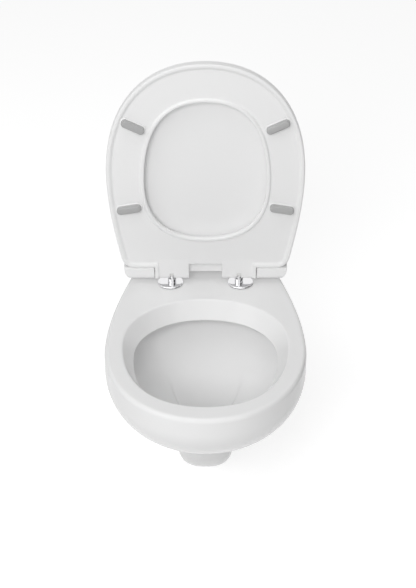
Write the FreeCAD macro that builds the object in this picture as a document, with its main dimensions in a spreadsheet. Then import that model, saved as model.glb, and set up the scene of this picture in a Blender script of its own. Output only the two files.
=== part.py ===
import FreeCAD, Part
import os

# Wall hung toilet: a slip-cast box-rim pan with a hinged seat ring and lid on quick-release metal hinges.
# Frame: +Z up, the front of the pan towards -Y, the wall at Y = 0. The origin is midway between the two
# wall bolts, on the wall face. Rest pose: seat ring and lid both stand open.

Vec = FreeCAD.Vector
X_AXIS = Vec(1, 0, 0)
Y_AXIS = Vec(0, 1, 0)
Z_AXIS = Vec(0, 0, 1)

doc = FreeCAD.newDocument("wall_hung_toilet")
sheet = doc.addObject("Spreadsheet::Sheet", "Sizes")

SIZES = {
    # pan: plan outline of the rim, seen from above
    "rim_half_width": 178.0,
    "rim_reach": 428.5,            # hinge axis to the front of the rim
    "rim_widest": 210.0,           # hinge axis to the widest place
    "rim_fullness": 0.584,         # Bezier handle share: 0.552 is an ellipse, more is squarer
    "axis_to_wall": 92.0,
    "wall_half_width": 120.0,
    "wall_taper": 0.29,            # sideways slope of the flanks where they reach the wall
    "rim_height": 80.0,            # rim top above the wall bolts
    "band_depth": 34.4,            # upright outer band of the rim
    "rim_edge_radius": 8.0,
    "rim_thickness": 12.0,
    "wall_thickness": 11.0,
    # pan: mouth and flushing rim
    "rim_side_width": 31.0,        # flat top between the rim's edge and the mouth, at the widest place
    "rim_front_width": 38.5,
    "mouth_rear": 58.0,
    "mouth_widest": 200.0,
    "mouth_front_fullness": 0.625,
    "mouth_rear_fullness": 0.584,
    "mouth_edge_radius": 3.5,
    "skirt_depth": 46.3,           # flushing rim's inner wall, below the rim top
    "skirt_thickness": 8.0,
    "channel_width": 12.0,
    # pan: bowl below the band, down to the trap
    "shoulder_front": 96.4,
    "shoulder_side": 90.3,
    "belly_front": 136.2,
    "belly_side": 141.8,
    "bowl_floor": 226.7,
    "belly_half_width": 124.4,
    "belly_reach": 332.0,
    "belly_rear": 60.0,
    "bore_half_width": 112.0,
    "bore_reach": 319.0,
    "bore_rear": 74.0,
    "bore_floor": 232.0,
    "bore_fullness": 0.66,
    "throat_step": 1.5,
    # pan: trapway
    "trap_outer_radius": 50.0,
    "trap_inner_radius": 37.5,
    "trap_bend_radius": 51.0,
    "dip_behind_axis": -91.5,      # centre of the lower bend, from the hinge axis
    "dip_depth": 236.0,            # centre of the lower bend, below the rim top
    "weir_rise": 18.0,             # trap centreline at the weir, above the outlet
    "outlet_straight": 20.0,
    "outlet_drop": 100.0,          # outlet centre below the wall bolts
    "outlet_radius": 51.0,
    "outlet_bore": 41.0,
    "spigot_length": 45.0,
    # pan: back
    "bolt_spacing": 180.0,
    "bolt_hole_radius": 11.0,
    "flange_thickness": 22.0,
    "flange_drop": 38.0,           # flange below the wall bolts
    "flange_corner": 26.0,
    "sleeve_room": 10.0,           # clear space round the outlet for the waste connector
    "inlet_rise": 35.0,            # flush inlet centre above the wall bolts
    "inlet_radius": 27.5,
    "inlet_depth": 45.0,
    "inlet_boss_radius": 37.0,
    "duct_radius": 17.0,
    "duct_rise": 40.0,
    "gusset_reach": 135.0,
    "cheek_inner": 34.0,
    "cheek_thickness": 10.0,
    "deck_thickness": 14.0,
    # hinges
    "axis_rise": 22.0,             # hinge axis above the rim top
    "knuckle_radius": 9.25,
    "hole_half_spacing": 65.5,
    "post_half_spacing": 62.5,
    "seat_hole_radius": 7.0,
    "disc_radius": 24.0,
    "disc_thickness": 3.0,
    "disc_bevel": 1.4,
    "gasket_radius": 22.5,
    "gasket_thickness": 1.0,
    "boss_radius": 8.0,
    "neck_radius": 4.0,
    "stud_radius": 4.0,
    "stud_length": 56.0,
    "damper_radius": 6.5,
    "pivot_radius": 4.0,
    "pivot_flats": 6.4,
    "bush_radius": 12.0,
    "bush_thickness": 6.0,
    "washer_radius": 14.0,
    "washer_thickness": 2.0,
    "nut_hub_radius": 9.0,
    "nut_hub_height": 13.0,
    "nut_wing_span": 38.0,
    "nut_wing_thickness": 5.0,
    "running_clearance": 0.05,
    "press_ease": 0.02,
    "moving_gap": 0.4,
    "raise_angle": 90.0,
    # seat ring
    "seat_half_width": 180.0,
    "seat_reach": 427.0,
    "seat_widest": 213.0,
    "seat_fullness": 0.613,
    "seat_rear": 17.3,
    "seat_rear_half_width": 152.0,
    "seat_taper": 0.219,
    "seat_corner": 22.0,
    "seat_top": 7.0,
    "bead_height": 3.0,
    "outer_bead": 7.5,
    "inner_bead": 9.0,
    "hole_half_width": 110.5,
    "hole_front": 354.9,
    "hole_rear": 83.5,
    "hole_widest": 196.0,
    "hole_fullness": 0.664,
    "seat_edge_radius": 6.0,
    "seat_under_radius": 2.0,
    "knuckle_inner": 31.0,
    "knuckle_outer": 95.0,
    "knuckle_reach": 26.6,
    "block_half_width": 87.3,
    "pad_height": 2.0,
    "pad_margin": 2.0,
    # buffers
    "buffer_length": 44.0,
    "buffer_width": 13.0,
    "buffer_edge": 2.0,
    "buffer_peg_radius": 3.0,
    "buffer_peg_length": 7.0,
    "front_buffer_inset": 52.0,     # from the seat's widest edge
    "front_buffer_from_tip": 117.2,
    "front_buffer_turn": 26.0,
    "rear_buffer_inset": 41.5,
    "rear_buffer_reach": 143.9,
    "rear_buffer_turn": -9.5,
    # lid
    "lid_gap": 1.0,
    "lid_top": 19.0,
    "lid_thickness": 4.0,
    "lid_skirt": 5.0,
    "lid_inset": 0.8,
    "lid_edge_radius": 7.0,
    "lid_end_half_width": 152.0,
    "lid_end_corner": 12.0,
    "lid_end_reach": 14.0,
    "lid_rear_wall": 32.0,
    "cutout_reach": 25.5,
    "lid_buffer_radius": 7.0,
    "lid_buffer_inset": 52.0,
    "lid_buffer_from_tip": 127.0,
}
for row, (alias, value) in enumerate(SIZES.items(), start=1):
    sheet.set(f"A{row}", alias)
    sheet.set(f"B{row}", str(value))
    sheet.setAlias(f"B{row}", alias)
doc.recompute()


class Dim:
    """A length that carries both its number and the spreadsheet formula it comes from."""

    def __init__(self, value, text):
        self.value = float(value)
        self.text = text

    def __float__(self):
        return self.value

    def __add__(self, other):
        other = dim(other)
        return Dim(self.value + other.value, f"({self.text} + {other.text})")

    def __sub__(self, other):
        other = dim(other)
        return Dim(self.value - other.value, f"({self.text} - {other.text})")

    def __mul__(self, other):
        other = dim(other)
        return Dim(self.value * other.value, f"({self.text} * {other.text})")

    def __neg__(self):
        return Dim(-self.value, f"(0 - {self.text})")

    def __radd__(self, other):
        return dim(other) + self

    def __rsub__(self, other):
        return dim(other) - self

    def __rmul__(self, other):
        return dim(other) * self


def dim(value):
    """A plain number as a Dim, or the Dim itself."""
    return value if isinstance(value, Dim) else Dim(value, f"{float(value)}")


def size(alias):
    """The spreadsheet cell with this alias."""
    return Dim(sheet.get(alias), f"Sizes.{alias}")


S = {alias: size(alias) for alias in SIZES}

# heights and places that several pieces share
axis_y = -S["axis_to_wall"]
axis_z = S["rim_height"] + S["axis_rise"]
under_block = S["knuckle_radius"]                        # underside of the hinge blocks, below the axis
under_bead = under_block + S["bead_height"]              # underside of the seat's beads, below the axis
seat_mouth = S["neck_radius"] + S["moving_gap"]          # half width of the knuckle's slot for the post
damper_inner = S["knuckle_inner"] + 5.0
damper_outer = S["knuckle_outer"] - S["moving_gap"]
damper_bore_end = damper_outer - 19.0
lid_end_inner = S["knuckle_outer"] + S["moving_gap"]
pivot_end = S["lid_end_half_width"] - 15.0
bore_radius = S["damper_radius"] + S["running_clearance"]


# ---------------------------------------------------------------- document helpers

def bind(item, prop, length):
    item.setExpression(prop, dim(length).text)


def place(item, x=0.0, y=0.0, z=0.0, rotation=None):
    """Puts a Part object or a body at a place whose coordinates follow the sheet."""
    here = Vec(float(x), float(y), float(z))
    item.Placement = FreeCAD.Placement(here, rotation or FreeCAD.Rotation())
    for key, value in (("x", x), ("y", y), ("z", z)):
        bind(item, f"Placement.Base.{key}", value)
    return item


def shape_feature(name, shape):
    """A lofted or swept form that has no feature of its own in the Part workbench."""
    item = doc.addObject("Part::Feature", name)
    item.Shape = shape
    return item


def cylinder(name, radius, height, x=0.0, y=0.0, z=0.0, along=Z_AXIS):
    item = doc.addObject("Part::Cylinder", name)
    bind(item, "Radius", radius)
    bind(item, "Height", height)
    return place(item, x, y, z, FreeCAD.Rotation(Z_AXIS, along))


def box(name, low, high):
    """A box between two corners, each a triple of lengths."""
    item = doc.addObject("Part::Box", name)
    for prop, a, b in zip(("Length", "Width", "Height"), low, high):
        bind(item, prop, dim(b) - dim(a))
    return place(item, *low)


def fuse(name, *pieces):
    item = doc.addObject("Part::MultiFuse", name)
    item.Shapes = list(pieces)
    item.Refine = True
    return item


def common(name, *pieces):
    item = doc.addObject("Part::MultiCommon", name)
    item.Shapes = list(pieces)
    return item


def cut(name, base, *tools):
    """The base less every tool, as one Part cut."""
    item = doc.addObject("Part::Cut", name)
    item.Base = base
    item.Tool = tools[0] if len(tools) == 1 else fuse(name + "_tools", *tools)
    return item


def extruded(name, wire, height):
    """A flat outline raised by a length of the sheet."""
    outline = shape_feature(name + "_outline", wire)
    item = doc.addObject("Part::Extrusion", name)
    item.Base = outline
    item.DirMode = "Custom"
    item.Dir = Z_AXIS
    item.Solid = True
    bind(item, "LengthFwd", height)
    return item


def rounded(name, base, radius, wanted):
    """The base with a fillet on each edge that the test picks."""
    doc.recompute()
    item = doc.addObject("Part::Fillet", name)
    item.Base = base
    picked = [n for n, edge in enumerate(base.Shape.Edges, start=1) if wanted(edge)]
    item.Edges = [(n, float(radius), float(radius)) for n in picked]
    return item


def level(edge, height):
    """True for an edge that lies flat at a height."""
    bounds = edge.BoundBox
    return abs(bounds.ZMin - height) < 0.01 and abs(bounds.ZMax - height) < 0.01


# ---------------------------------------------------------------- outlines

def bezier(*poles):
    curve = Part.BezierCurve()
    curve.setPoles([Vec(*p) for p in poles])
    return curve.toShape()


def quarter(wide, long, fullness, middle, side, z):
    """From the widest point of an oval to its tip on the centreline, as one Bezier curve."""
    w, n, m = side * wide, long, middle
    return bezier((w, m, z), (w, m + fullness * n, z), (fullness * w, m + n, z), (0, m + n, z))


def oval(wide, front, rear, middle, front_full, rear_full, z):
    """A closed egg outline: four Bezier quarters, front towards -Y, y measured in the part's frame."""
    edges = []
    for side, length, full in ((1, front, front_full), (-1, front, front_full),
                               (-1, rear, rear_full), (1, rear, rear_full)):
        edges.append(quarter(wide, length - middle, full, middle, side, z))
    return Part.Wire(Part.__sortEdges__(edges))


def flank(wide, start, end_wide, end, taper, side, z):
    """From the widest point back along a flank that narrows to the given slope."""
    run = (end - start) / 3.0
    return bezier((side * wide, start, z), (side * wide, start + run, z),
                  (side * (end_wide + taper * run), end - run, z), (side * end_wide, end, z))


def shield(inset, z, wide, tip, middle, fullness, end_wide, end, taper):
    """A horseshoe outline with a straight back: rim, seat and lid all have this form."""
    wide = wide - inset
    end_wide = end_wide - inset * (1.0 + taper * taper) ** 0.5
    edges = [quarter(wide, tip + inset - middle, fullness, middle, side, z) for side in (1, -1)]
    edges += [flank(wide, middle, end_wide, end, taper, side, z) for side in (1, -1)]
    edges.append(Part.makeLine(Vec(end_wide, end, z), Vec(-end_wide, end, z)))
    return Part.Wire(Part.__sortEdges__(edges))


class Ring:
    """One level control outline of a bowl: an oval with its widest place, tips, fullness and heights."""

    def __init__(self, wide, front, rear, middle, fullness, z_side, z_tip):
        self.wide, self.front, self.rear, self.middle = (float(v) for v in (wide, front, rear, middle))
        self.fullness, self.z_side, self.z_tip = (float(v) for v in (fullness, z_side, z_tip))

    def poles(self, side, tip):
        run, full, wide = tip - self.middle, self.fullness, side * self.wide
        return [Vec(wide, self.middle, self.z_side), Vec(wide, self.middle + full * run, self.z_side),
                Vec(full * wide, tip, self.z_tip), Vec(0, tip, self.z_tip)]


def bowl_solid(rings):
    """A solid between the first and last of four control outlines, its sides drawn by Bezier patches."""
    faces = []
    for side in (1, -1):
        for ahead in (True, False):
            patch = Part.BezierSurface()
            patch.increase(3, 3)
            for row, ring in enumerate(rings, start=1):
                tip = ring.front if ahead else ring.rear
                for column, pole in enumerate(ring.poles(side, tip), start=1):
                    patch.setPole(row, column, pole)
            faces.append(patch.toShape())
    for ring in (rings[0], rings[-1]):
        edges = [bezier(*ring.poles(side, tip)) for side in (1, -1) for tip in (ring.front, ring.rear)]
        faces.append(Part.Face(Part.Wire(Part.__sortEdges__(edges))))
    shell = Part.makeShell(faces)
    shell.sewShape()
    solid = Part.makeSolid(shell)
    if solid.Volume < 0:
        solid.reverse()
    return solid


# ---------------------------------------------------------------- ceramic pan

rim_top = S["rim_height"]
rim_under = rim_top - S["rim_thickness"]
band_low = rim_top - S["band_depth"]
mouth_half_width = S["rim_half_width"] - S["rim_side_width"]
mouth_front = S["rim_reach"] - S["rim_front_width"]


def behind(distance):
    """The y of a place given as a distance in front of the hinge axis."""
    return axis_y - distance


def rim_outline(inset, z):
    return shield(inset, float(z), float(S["rim_half_width"]), float(behind(S["rim_reach"])),
                  float(behind(S["rim_widest"])), float(S["rim_fullness"]),
                  float(S["wall_half_width"]), 0.0, float(S["wall_taper"]))


def mouth_outline(outset, z):
    return oval(float(mouth_half_width) + outset, float(behind(mouth_front)) - outset,
                float(behind(S["mouth_rear"])) + outset, float(behind(S["mouth_widest"])),
                float(S["mouth_front_fullness"]), float(S["mouth_rear_fullness"]), float(z))


def bowl_rings(inside):
    """The bowl's four control outlines, from the band down to the throat."""
    wall = S["wall_thickness"] if inside else dim(0.0)
    back = S["mouth_rear"] - S["skirt_thickness"] - S["channel_width"]
    if not inside:
        back = back - S["wall_thickness"]
    dip = S["trap_bend_radius"] - S["dip_behind_axis"]
    throat = S["trap_inner_radius"] if inside else S["trap_outer_radius"]
    throat = throat - S["throat_step"]
    floor = rim_top - (S["bore_floor"] if inside else S["bowl_floor"])
    half = S["bore_half_width"] if inside else S["belly_half_width"]
    reach = S["bore_reach"] if inside else S["belly_reach"]
    rear = S["bore_rear"] if inside else S["belly_rear"]
    full = S["bore_fullness"] if inside else S["rim_fullness"]
    wide = S["rim_half_width"] - wall
    tip = behind(S["rim_reach"] - wall)
    widest = behind(S["rim_widest"])
    plain = S["rim_fullness"]
    return [
        Ring(wide, tip, behind(back), widest, plain, band_low, band_low),
        Ring(wide, tip, behind(back), widest, plain,
             rim_top - S["shoulder_side"], rim_top - S["shoulder_front"]),
        Ring(half, behind(reach), behind(rear), behind(dip + 20.0), full,
             rim_top - S["belly_side"], rim_top - S["belly_front"]),
        Ring(throat, behind(dip + throat), behind(dip - throat), behind(dip), 0.5523, floor, floor),
    ]


def bowl_outline(inside):
    """The bowl's level outline where it meets the band."""
    ring = bowl_rings(inside)[0]
    edges = [bezier(*ring.poles(side, tip)) for side in (1, -1) for tip in (ring.front, ring.rear)]
    return Part.Wire(Part.__sortEdges__(edges))


def trap_path():
    """Centreline of the trapway: down from the bowl, round the dip, up over the weir and out to the wall."""
    bend = float(S["trap_bend_radius"])
    dip_y = float(axis_y + S["dip_behind_axis"])
    dip_z = float(rim_top - S["dip_depth"])
    outlet_z = -float(S["outlet_drop"])
    weir_z = outlet_z + float(S["weir_rise"])
    top_z = float(rim_top - S["bowl_floor"]) + 14.0
    turn_y = dip_y + 2.0 * bend
    straight_y = -float(S["outlet_straight"])
    ease = (straight_y - turn_y) / 2.0
    fall = (weir_z - outlet_z) / 2.0
    sway = (ease * ease + fall * fall) / (2.0 * fall)
    sag = sway - (sway * sway - ease * ease / 4.0) ** 0.5
    diagonal = bend * 0.5 ** 0.5

    def at(y, z):
        return Vec(0, y, z)

    middle = at(turn_y + ease, outlet_z + fall)
    edges = [
        Part.makeLine(at(dip_y - bend, top_z), at(dip_y - bend, dip_z)),
        Part.Arc(at(dip_y - bend, dip_z), at(dip_y, dip_z - bend), at(dip_y + bend, dip_z)).toShape(),
        Part.makeLine(at(dip_y + bend, dip_z), at(dip_y + bend, weir_z - bend)),
        Part.Arc(at(dip_y + bend, weir_z - bend), at(turn_y - diagonal, weir_z - bend + diagonal),
                 at(turn_y, weir_z)).toShape(),
        Part.Arc(at(turn_y, weir_z), at(turn_y + ease / 2.0, weir_z - sag), middle).toShape(),
        Part.Arc(middle, at(straight_y - ease / 2.0, outlet_z + sag), at(straight_y, outlet_z)).toShape(),
        Part.makeLine(at(straight_y, outlet_z), at(0, outlet_z)),
    ]
    return Part.Wire(edges)


def tube(radius):
    """A round tube, filled, along the trapway."""
    path = trap_path()
    start = path.Edges[0].Vertexes[0].Point
    ring = Part.Wire(Part.makeCircle(float(radius), start, Vec(0, 0, -1)))
    return path.makePipeShell([ring], True, False)


def make_pan():
    band = extruded("rim_band", rim_outline(0.0, band_low), S["band_depth"])
    mouth_tool = extruded("mouth_tool", mouth_outline(0.0, band_low - 1.0), S["band_depth"] + 2.0)
    ring = cut("rim_ring", band, mouth_tool)
    top = float(rim_top)

    def outer_top(edge):
        return level(edge, top) and edge.Curve.TypeId != "Part::GeomLine" and not in_mouth(edge)

    def in_mouth(edge):
        return edge.BoundBox.XMax - float(mouth_half_width) < 0.5 and \
            edge.BoundBox.XMin + float(mouth_half_width) > -0.5 and \
            edge.BoundBox.YMax < float(behind(S["mouth_rear"])) + 1.0

    def mouth_top(edge):
        return level(edge, top) and in_mouth(edge)

    soft_ring = rounded("rim_soft", ring, S["rim_edge_radius"], outer_top)
    softer_ring = rounded("rim_softer", soft_ring, S["mouth_edge_radius"], mouth_top)

    # open pockets under the deck, where the seat's wing nuts are reached
    wall = float(S["wall_thickness"])
    room = extruded("deck_room", rim_outline(wall, band_low - 1.0),
                    S["band_depth"] + 1.0 - S["deck_thickness"])
    reach = (-dim(400.0), behind(S["mouth_rear"] + 80.0), band_low - 2.0)
    right = box("deck_room_right", (S["cheek_inner"] + S["cheek_thickness"], reach[1], reach[2]),
                (400.0, -S["flange_thickness"], rim_top))
    left = box("deck_room_left", (reach[0], reach[1], reach[2]),
               (-(S["cheek_inner"] + S["cheek_thickness"]), -S["flange_thickness"], rim_top))
    collar = extruded("bowl_collar", bowl_outline(False), S["band_depth"])
    pockets = cut("deck_pockets", common("deck_spaces", room, fuse("deck_sides", right, left)), collar)
    hollow_ring = cut("rim_hollowed", softer_ring, pockets)

    bowl = shape_feature("bowl_outside", bowl_solid(bowl_rings(False)))
    trap = shape_feature("trap_outside", tube(S["trap_outer_radius"]))
    spigot = cylinder("outlet_spigot", S["outlet_radius"], S["spigot_length"],
                      y=-S["spigot_length"], z=-S["outlet_drop"], along=Y_AXIS)
    inlet = cylinder("inlet_boss", S["inlet_boss_radius"], -behind(S["mouth_rear"] - 40.0),
                     y=behind(S["mouth_rear"] - 40.0), z=S["inlet_rise"], along=Y_AXIS)
    cheeks = []
    sleeve_y = -(S["spigot_length"] + S["sleeve_room"])
    for side, start in (("left", -(S["cheek_inner"] + S["cheek_thickness"])), ("right", S["cheek_inner"])):
        stop = start + S["cheek_thickness"]
        cheeks.append(box(f"cheek_{side}", (start, behind(S["mouth_rear"]), -S["flange_drop"]),
                          (stop, -1.0, rim_under)))
        cheeks.append(box(f"cheek_foot_{side}", (start, behind(S["mouth_rear"]), -S["outlet_drop"]),
                          (stop, sleeve_y, 0.0)))
    plate = box("flange_plate", (-S["wall_half_width"], -S["flange_thickness"], -S["flange_drop"]),
                (S["wall_half_width"], 0.0, band_low))

    def plate_corner(edge):
        bounds = edge.BoundBox
        return bounds.ZMax < -float(S["flange_drop"]) + 0.1 and bounds.YLength > 1.0

    soft_plate = rounded("flange_soft", plate, S["flange_corner"], plate_corner)
    skin = cut("flank_skin", extruded("flank_outside", rim_outline(0.0, -S["flange_drop"]),
                                      band_low + S["flange_drop"]),
               extruded("flank_inside", rim_outline(wall, -S["flange_drop"] - 1.0),
                        band_low + S["flange_drop"] + 2.0))
    slope = Part.Wire([Part.makeLine(Vec(0, -10, -float(S["flange_drop"])), Vec(0, -10, float(band_low))),
                       Part.makeLine(Vec(0, -10, float(band_low)),
                                     Vec(0, -float(S["gusset_reach"]), float(band_low))),
                       bezier((0, -float(S["gusset_reach"]), float(band_low)), (0, -70, float(band_low)),
                              (0, -float(S["flange_thickness"]), 0),
                              (0, -10, -float(S["flange_drop"])))])
    wedge = shape_feature("gusset_wedge", Part.Face(slope).extrude(Vec(600, 0, 0)))
    place(wedge, x=-300.0)
    gussets = common("gussets", skin, wedge)
    clay = fuse("pan_clay", hollow_ring, bowl, trap, spigot, inlet, soft_plate, gussets, *cheeks)

    # everything that is air: bowl with its flushing channel, mouth, trapway, inlet and holes
    bore_top = extruded("bowl_bore_top", bowl_outline(True), S["band_depth"] - S["rim_thickness"])
    bore = shape_feature("bowl_bore", bowl_solid(bowl_rings(True)))
    skirt = extruded("skirt_outside", mouth_outline(float(S["skirt_thickness"]), rim_top - S["skirt_depth"]),
                     S["skirt_depth"])
    channel = cut("bowl_air", fuse("bowl_bore_whole", bore_top, bore), skirt)
    mouth = extruded("mouth_air", mouth_outline(0.0, rim_top - S["skirt_depth"] - 4.0),
                     S["skirt_depth"] + 4.0 - S["rim_thickness"])
    way = shape_feature("trap_bore", tube(S["trap_inner_radius"]))
    outlet = cylinder("outlet_bore", S["outlet_bore"], S["spigot_length"] + 1.0,
                      y=-S["spigot_length"], z=-S["outlet_drop"], along=Y_AXIS)
    socket = cylinder("inlet_socket", S["inlet_radius"], S["inlet_depth"] + 1.0,
                      y=-S["inlet_depth"], z=S["inlet_rise"], along=Y_AXIS)
    channel_y = behind(S["mouth_rear"] - S["skirt_thickness"] - 6.0)
    duct = cylinder("inlet_duct", S["duct_radius"], -channel_y - S["inlet_depth"] + 1.0,
                    y=channel_y, z=S["duct_rise"], along=Y_AXIS)
    holes = []
    for side, name in ((-1.0, "left"), (1.0, "right")):
        holes.append(cylinder(f"bolt_hole_{name}", S["bolt_hole_radius"], S["flange_thickness"] + 2.0,
                              x=side * 0.5 * S["bolt_spacing"], y=-S["flange_thickness"] - 1.0,
                              along=Y_AXIS))
        holes.append(cylinder(f"seat_hole_{name}", S["seat_hole_radius"], S["deck_thickness"] + 2.0,
                              x=side * S["hole_half_spacing"], y=axis_y,
                              z=rim_top - S["deck_thickness"] - 1.0))
    room_radius = S["outlet_radius"] + S["sleeve_room"]
    sleeve = cut("sleeve_space",
                 cylinder("sleeve_outside", room_radius, S["spigot_length"] + 1.0,
                          y=-S["spigot_length"], z=-S["outlet_drop"], along=Y_AXIS),
                 cylinder("sleeve_inside", S["outlet_radius"], S["spigot_length"] + 2.0,
                          y=-S["spigot_length"] - 0.5, z=-S["outlet_drop"], along=Y_AXIS))
    air = fuse("pan_air", channel, mouth, way, outlet, socket, duct, sleeve, *holes)
    pan = doc.addObject("Part::Cut", "ceramic_pan")
    pan.Base = clay
    pan.Tool = air
    return pan


# ---------------------------------------------------------------- shared makers for the moving pieces

OPEN = FreeCAD.Rotation(X_AXIS, -float(S["raise_angle"]))


def upright(edge):
    """True for a straight edge that stands vertical."""
    bounds = edge.BoundBox
    return bounds.XLength < 0.01 and bounds.YLength < 0.01 and bounds.ZLength > 0.5


def slab(name, wire_at, low, high, corner=None):
    """An outline extruded between two heights, its two rear corners rounded."""
    body = extruded(name, wire_at(float(low)), dim(high) - dim(low))
    if corner is None:
        return body
    return rounded(name + "_corners", body, corner, upright)


def rear_bar(name, radius, x_from, x_to):
    """A round bar along the hinge axis between two x places."""
    return cylinder(name, radius, dim(x_to) - dim(x_from), x=x_from, along=X_AXIS)


def flatted_bar(name, x_from, x_to, ease=0.0):
    """The hinge pivot's form inside the lid: round, with two flats."""
    bar = rear_bar(name + "_round", S["pivot_radius"] + ease, x_from, x_to)
    half = S["pivot_flats"] * 0.5 + ease
    keep = box(name + "_flats", (x_from, -10.0, -half), (x_to, 10.0, half))
    return common(name, bar, keep)


# ---------------------------------------------------------------- seat ring, modelled closed

def seat_outline(inset, z):
    return shield(inset, z, float(S["seat_half_width"]), -float(S["seat_reach"]),
                  -float(S["seat_widest"]), float(S["seat_fullness"]),
                  float(S["seat_rear_half_width"]), -float(S["seat_rear"]) - inset, float(S["seat_taper"]))


def hole_outline(outset, z):
    full = float(S["hole_fullness"])
    return oval(float(S["hole_half_width"]) + outset, -float(S["hole_front"]) - outset,
                -float(S["hole_rear"]) + outset, -float(S["hole_widest"]), full, full, z)


def stadium(name, length, width, low, high):
    """A bar with half-round ends between two heights, lying along x."""
    half = (dim(length) - dim(width)) * 0.5
    radius = dim(width) * 0.5
    ends = [cylinder(f"{name}_end{n}", radius, dim(high) - dim(low), x=half * side, z=low)
            for n, side in enumerate((-1.0, 1.0))]
    bar = box(name + "_bar", (-half, -radius, low), (half, radius, high))
    return fuse(name, bar, *ends)


def buffer_places():
    """Each seat buffer's name, side, distance in front of the axis and turn."""
    front_x = S["seat_half_width"] - S["front_buffer_inset"]
    front_reach = S["seat_reach"] - S["front_buffer_from_tip"]
    rear_x = S["seat_half_width"] - S["rear_buffer_inset"]
    for side, where in ((-1.0, "left"), (1.0, "right")):
        yield (f"front_{where}", side, front_x, front_reach, S["front_buffer_turn"])
        yield (f"rear_{where}", side, rear_x, S["rear_buffer_reach"], S["rear_buffer_turn"])


def set_on_seat(item, side, across, reach, turn, z=0.0):
    """Puts a piece made about its own centre onto the seat at a buffer's place."""
    spin = FreeCAD.Rotation(Z_AXIS, -side * float(turn))
    return place(item, across * side, -reach, z, spin)


def make_seat():
    base = slab("seat_slab", lambda z: seat_outline(0.0, z), -under_block, S["seat_top"], S["seat_corner"])
    hole = extruded("seat_hole", hole_outline(0.0, -30.0), 60.0)
    plate = cut("seat_plate", base, hole)
    top = float(S["seat_top"])
    soft = rounded("seat_soft", plate, S["seat_edge_radius"], lambda edge: level(edge, top))

    outer = slab("bead_outside", lambda z: seat_outline(0.0, z), -under_bead, -under_block + 1.0,
                 S["seat_corner"])
    bead_in = slab("bead_inside", lambda z: seat_outline(float(S["outer_bead"]), z), -under_bead - 1.0,
                   -under_block + 2.0, S["seat_corner"] - S["outer_bead"])
    rear_gap = box("bead_rear_gap", (-S["block_half_width"], -S["knuckle_reach"], -under_bead - 1.0),
                   (S["block_half_width"], 0.0, -under_block + 2.0))
    outer_ring = cut("outer_bead_ring", outer, bead_in, rear_gap)
    inner = extruded("inner_bead_outside", hole_outline(float(S["inner_bead"]), -float(under_bead)),
                     S["bead_height"] + 1.0)
    inner_ring = cut("inner_bead_ring", inner, hole)
    low = -float(under_bead)
    beads = []
    for ring in (outer_ring, inner_ring):
        beads.append(rounded(ring.Name + "_soft", ring, S["seat_under_radius"],
                             lambda edge: level(edge, low) and edge.Length > 30.0))
    pads = []
    for name, side, across, reach, turn in buffer_places():
        pad = stadium(f"pad_{name}", S["buffer_length"] + S["pad_margin"] * 2.0,
                      S["buffer_width"] + S["pad_margin"] * 2.0, -under_block - S["pad_height"],
                      -under_block + 1.0)
        pads.append(set_on_seat(pad, side, across, reach, turn))

    adding = [soft] + beads + pads
    taking = [box("seat_notch", (-S["knuckle_inner"], -S["knuckle_reach"], -20.0),
                  (S["knuckle_inner"], 20.0, 20.0))]
    for side, name in ((-1.0, "left"), (1.0, "right")):
        near = S["knuckle_inner"] if side > 0 else -S["knuckle_outer"]
        far = S["knuckle_outer"] if side > 0 else -S["knuckle_inner"]
        adding.append(rear_bar(f"knuckle_bar_{name}", S["knuckle_radius"], near, far))
        adding.append(box(f"knuckle_block_{name}", (near, -S["knuckle_reach"] - 2.0, -under_block),
                          (far, 0.0, S["seat_top"])))
        inner_end = damper_inner if side > 0 else -S["knuckle_outer"] - 1.0
        outer_end = S["knuckle_outer"] + 1.0 if side > 0 else -damper_inner
        taking.append(rear_bar(f"damper_bore_{name}", bore_radius, inner_end, outer_end))
        post_x = S["post_half_spacing"] * side
        taking.append(box(f"post_slot_{name}", (post_x - seat_mouth, -S["moving_gap"], -20.0),
                          (post_x + seat_mouth, 20.0, S["moving_gap"])))
        taking.append(cylinder(f"post_down_{name}", seat_mouth, 20.0, x=post_x, z=-20.0))
        taking.append(cylinder(f"post_back_{name}", seat_mouth, 20.0, x=post_x, along=Y_AXIS))
    for name, side, across, reach, turn in buffer_places():
        peg = cylinder(f"peg_hole_{name}", S["buffer_peg_radius"], S["buffer_peg_length"] + 1.0)
        taking.append(set_on_seat(peg, side, across, reach, turn, -under_block - S["pad_height"] - 1.0))
    return cut("seat_ring", fuse("seat_solid", *adding), *taking)


def make_buffer(name, side, across, reach, turn):
    """A rubber buffer with a peg that presses into the seat; its tip just clears the closed rim."""
    root = -under_block - S["pad_height"]
    tip = -(S["axis_rise"] - S["running_clearance"] * 6.0)
    bar = stadium(f"buffer_body_{name}", S["buffer_length"], S["buffer_width"], tip, root)
    low = float(tip)
    soft = rounded(f"buffer_soft_{name}", bar, S["buffer_edge"], lambda edge: level(edge, low))
    peg = cylinder(f"buffer_peg_{name}", S["buffer_peg_radius"] - S["press_ease"],
                   S["buffer_peg_length"], z=root - 0.5)
    item = fuse(f"seat_buffer_{name}", soft, peg)
    spin = OPEN.multiply(FreeCAD.Rotation(Z_AXIS, -side * float(turn)))
    return place(item, across * side, axis_y, axis_z + reach, spin)


# ---------------------------------------------------------------- lid, modelled closed

def lid_outline(inset, z):
    flare = float(S["knuckle_radius"])
    return shield(inset, z, float(S["seat_half_width"]) + float(S["lid_inset"]),
                  -float(S["seat_reach"]) - float(S["lid_inset"]), -float(S["seat_widest"]),
                  float(S["seat_fullness"]), float(S["lid_end_half_width"]), flare, float(S["seat_taper"]))


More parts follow.
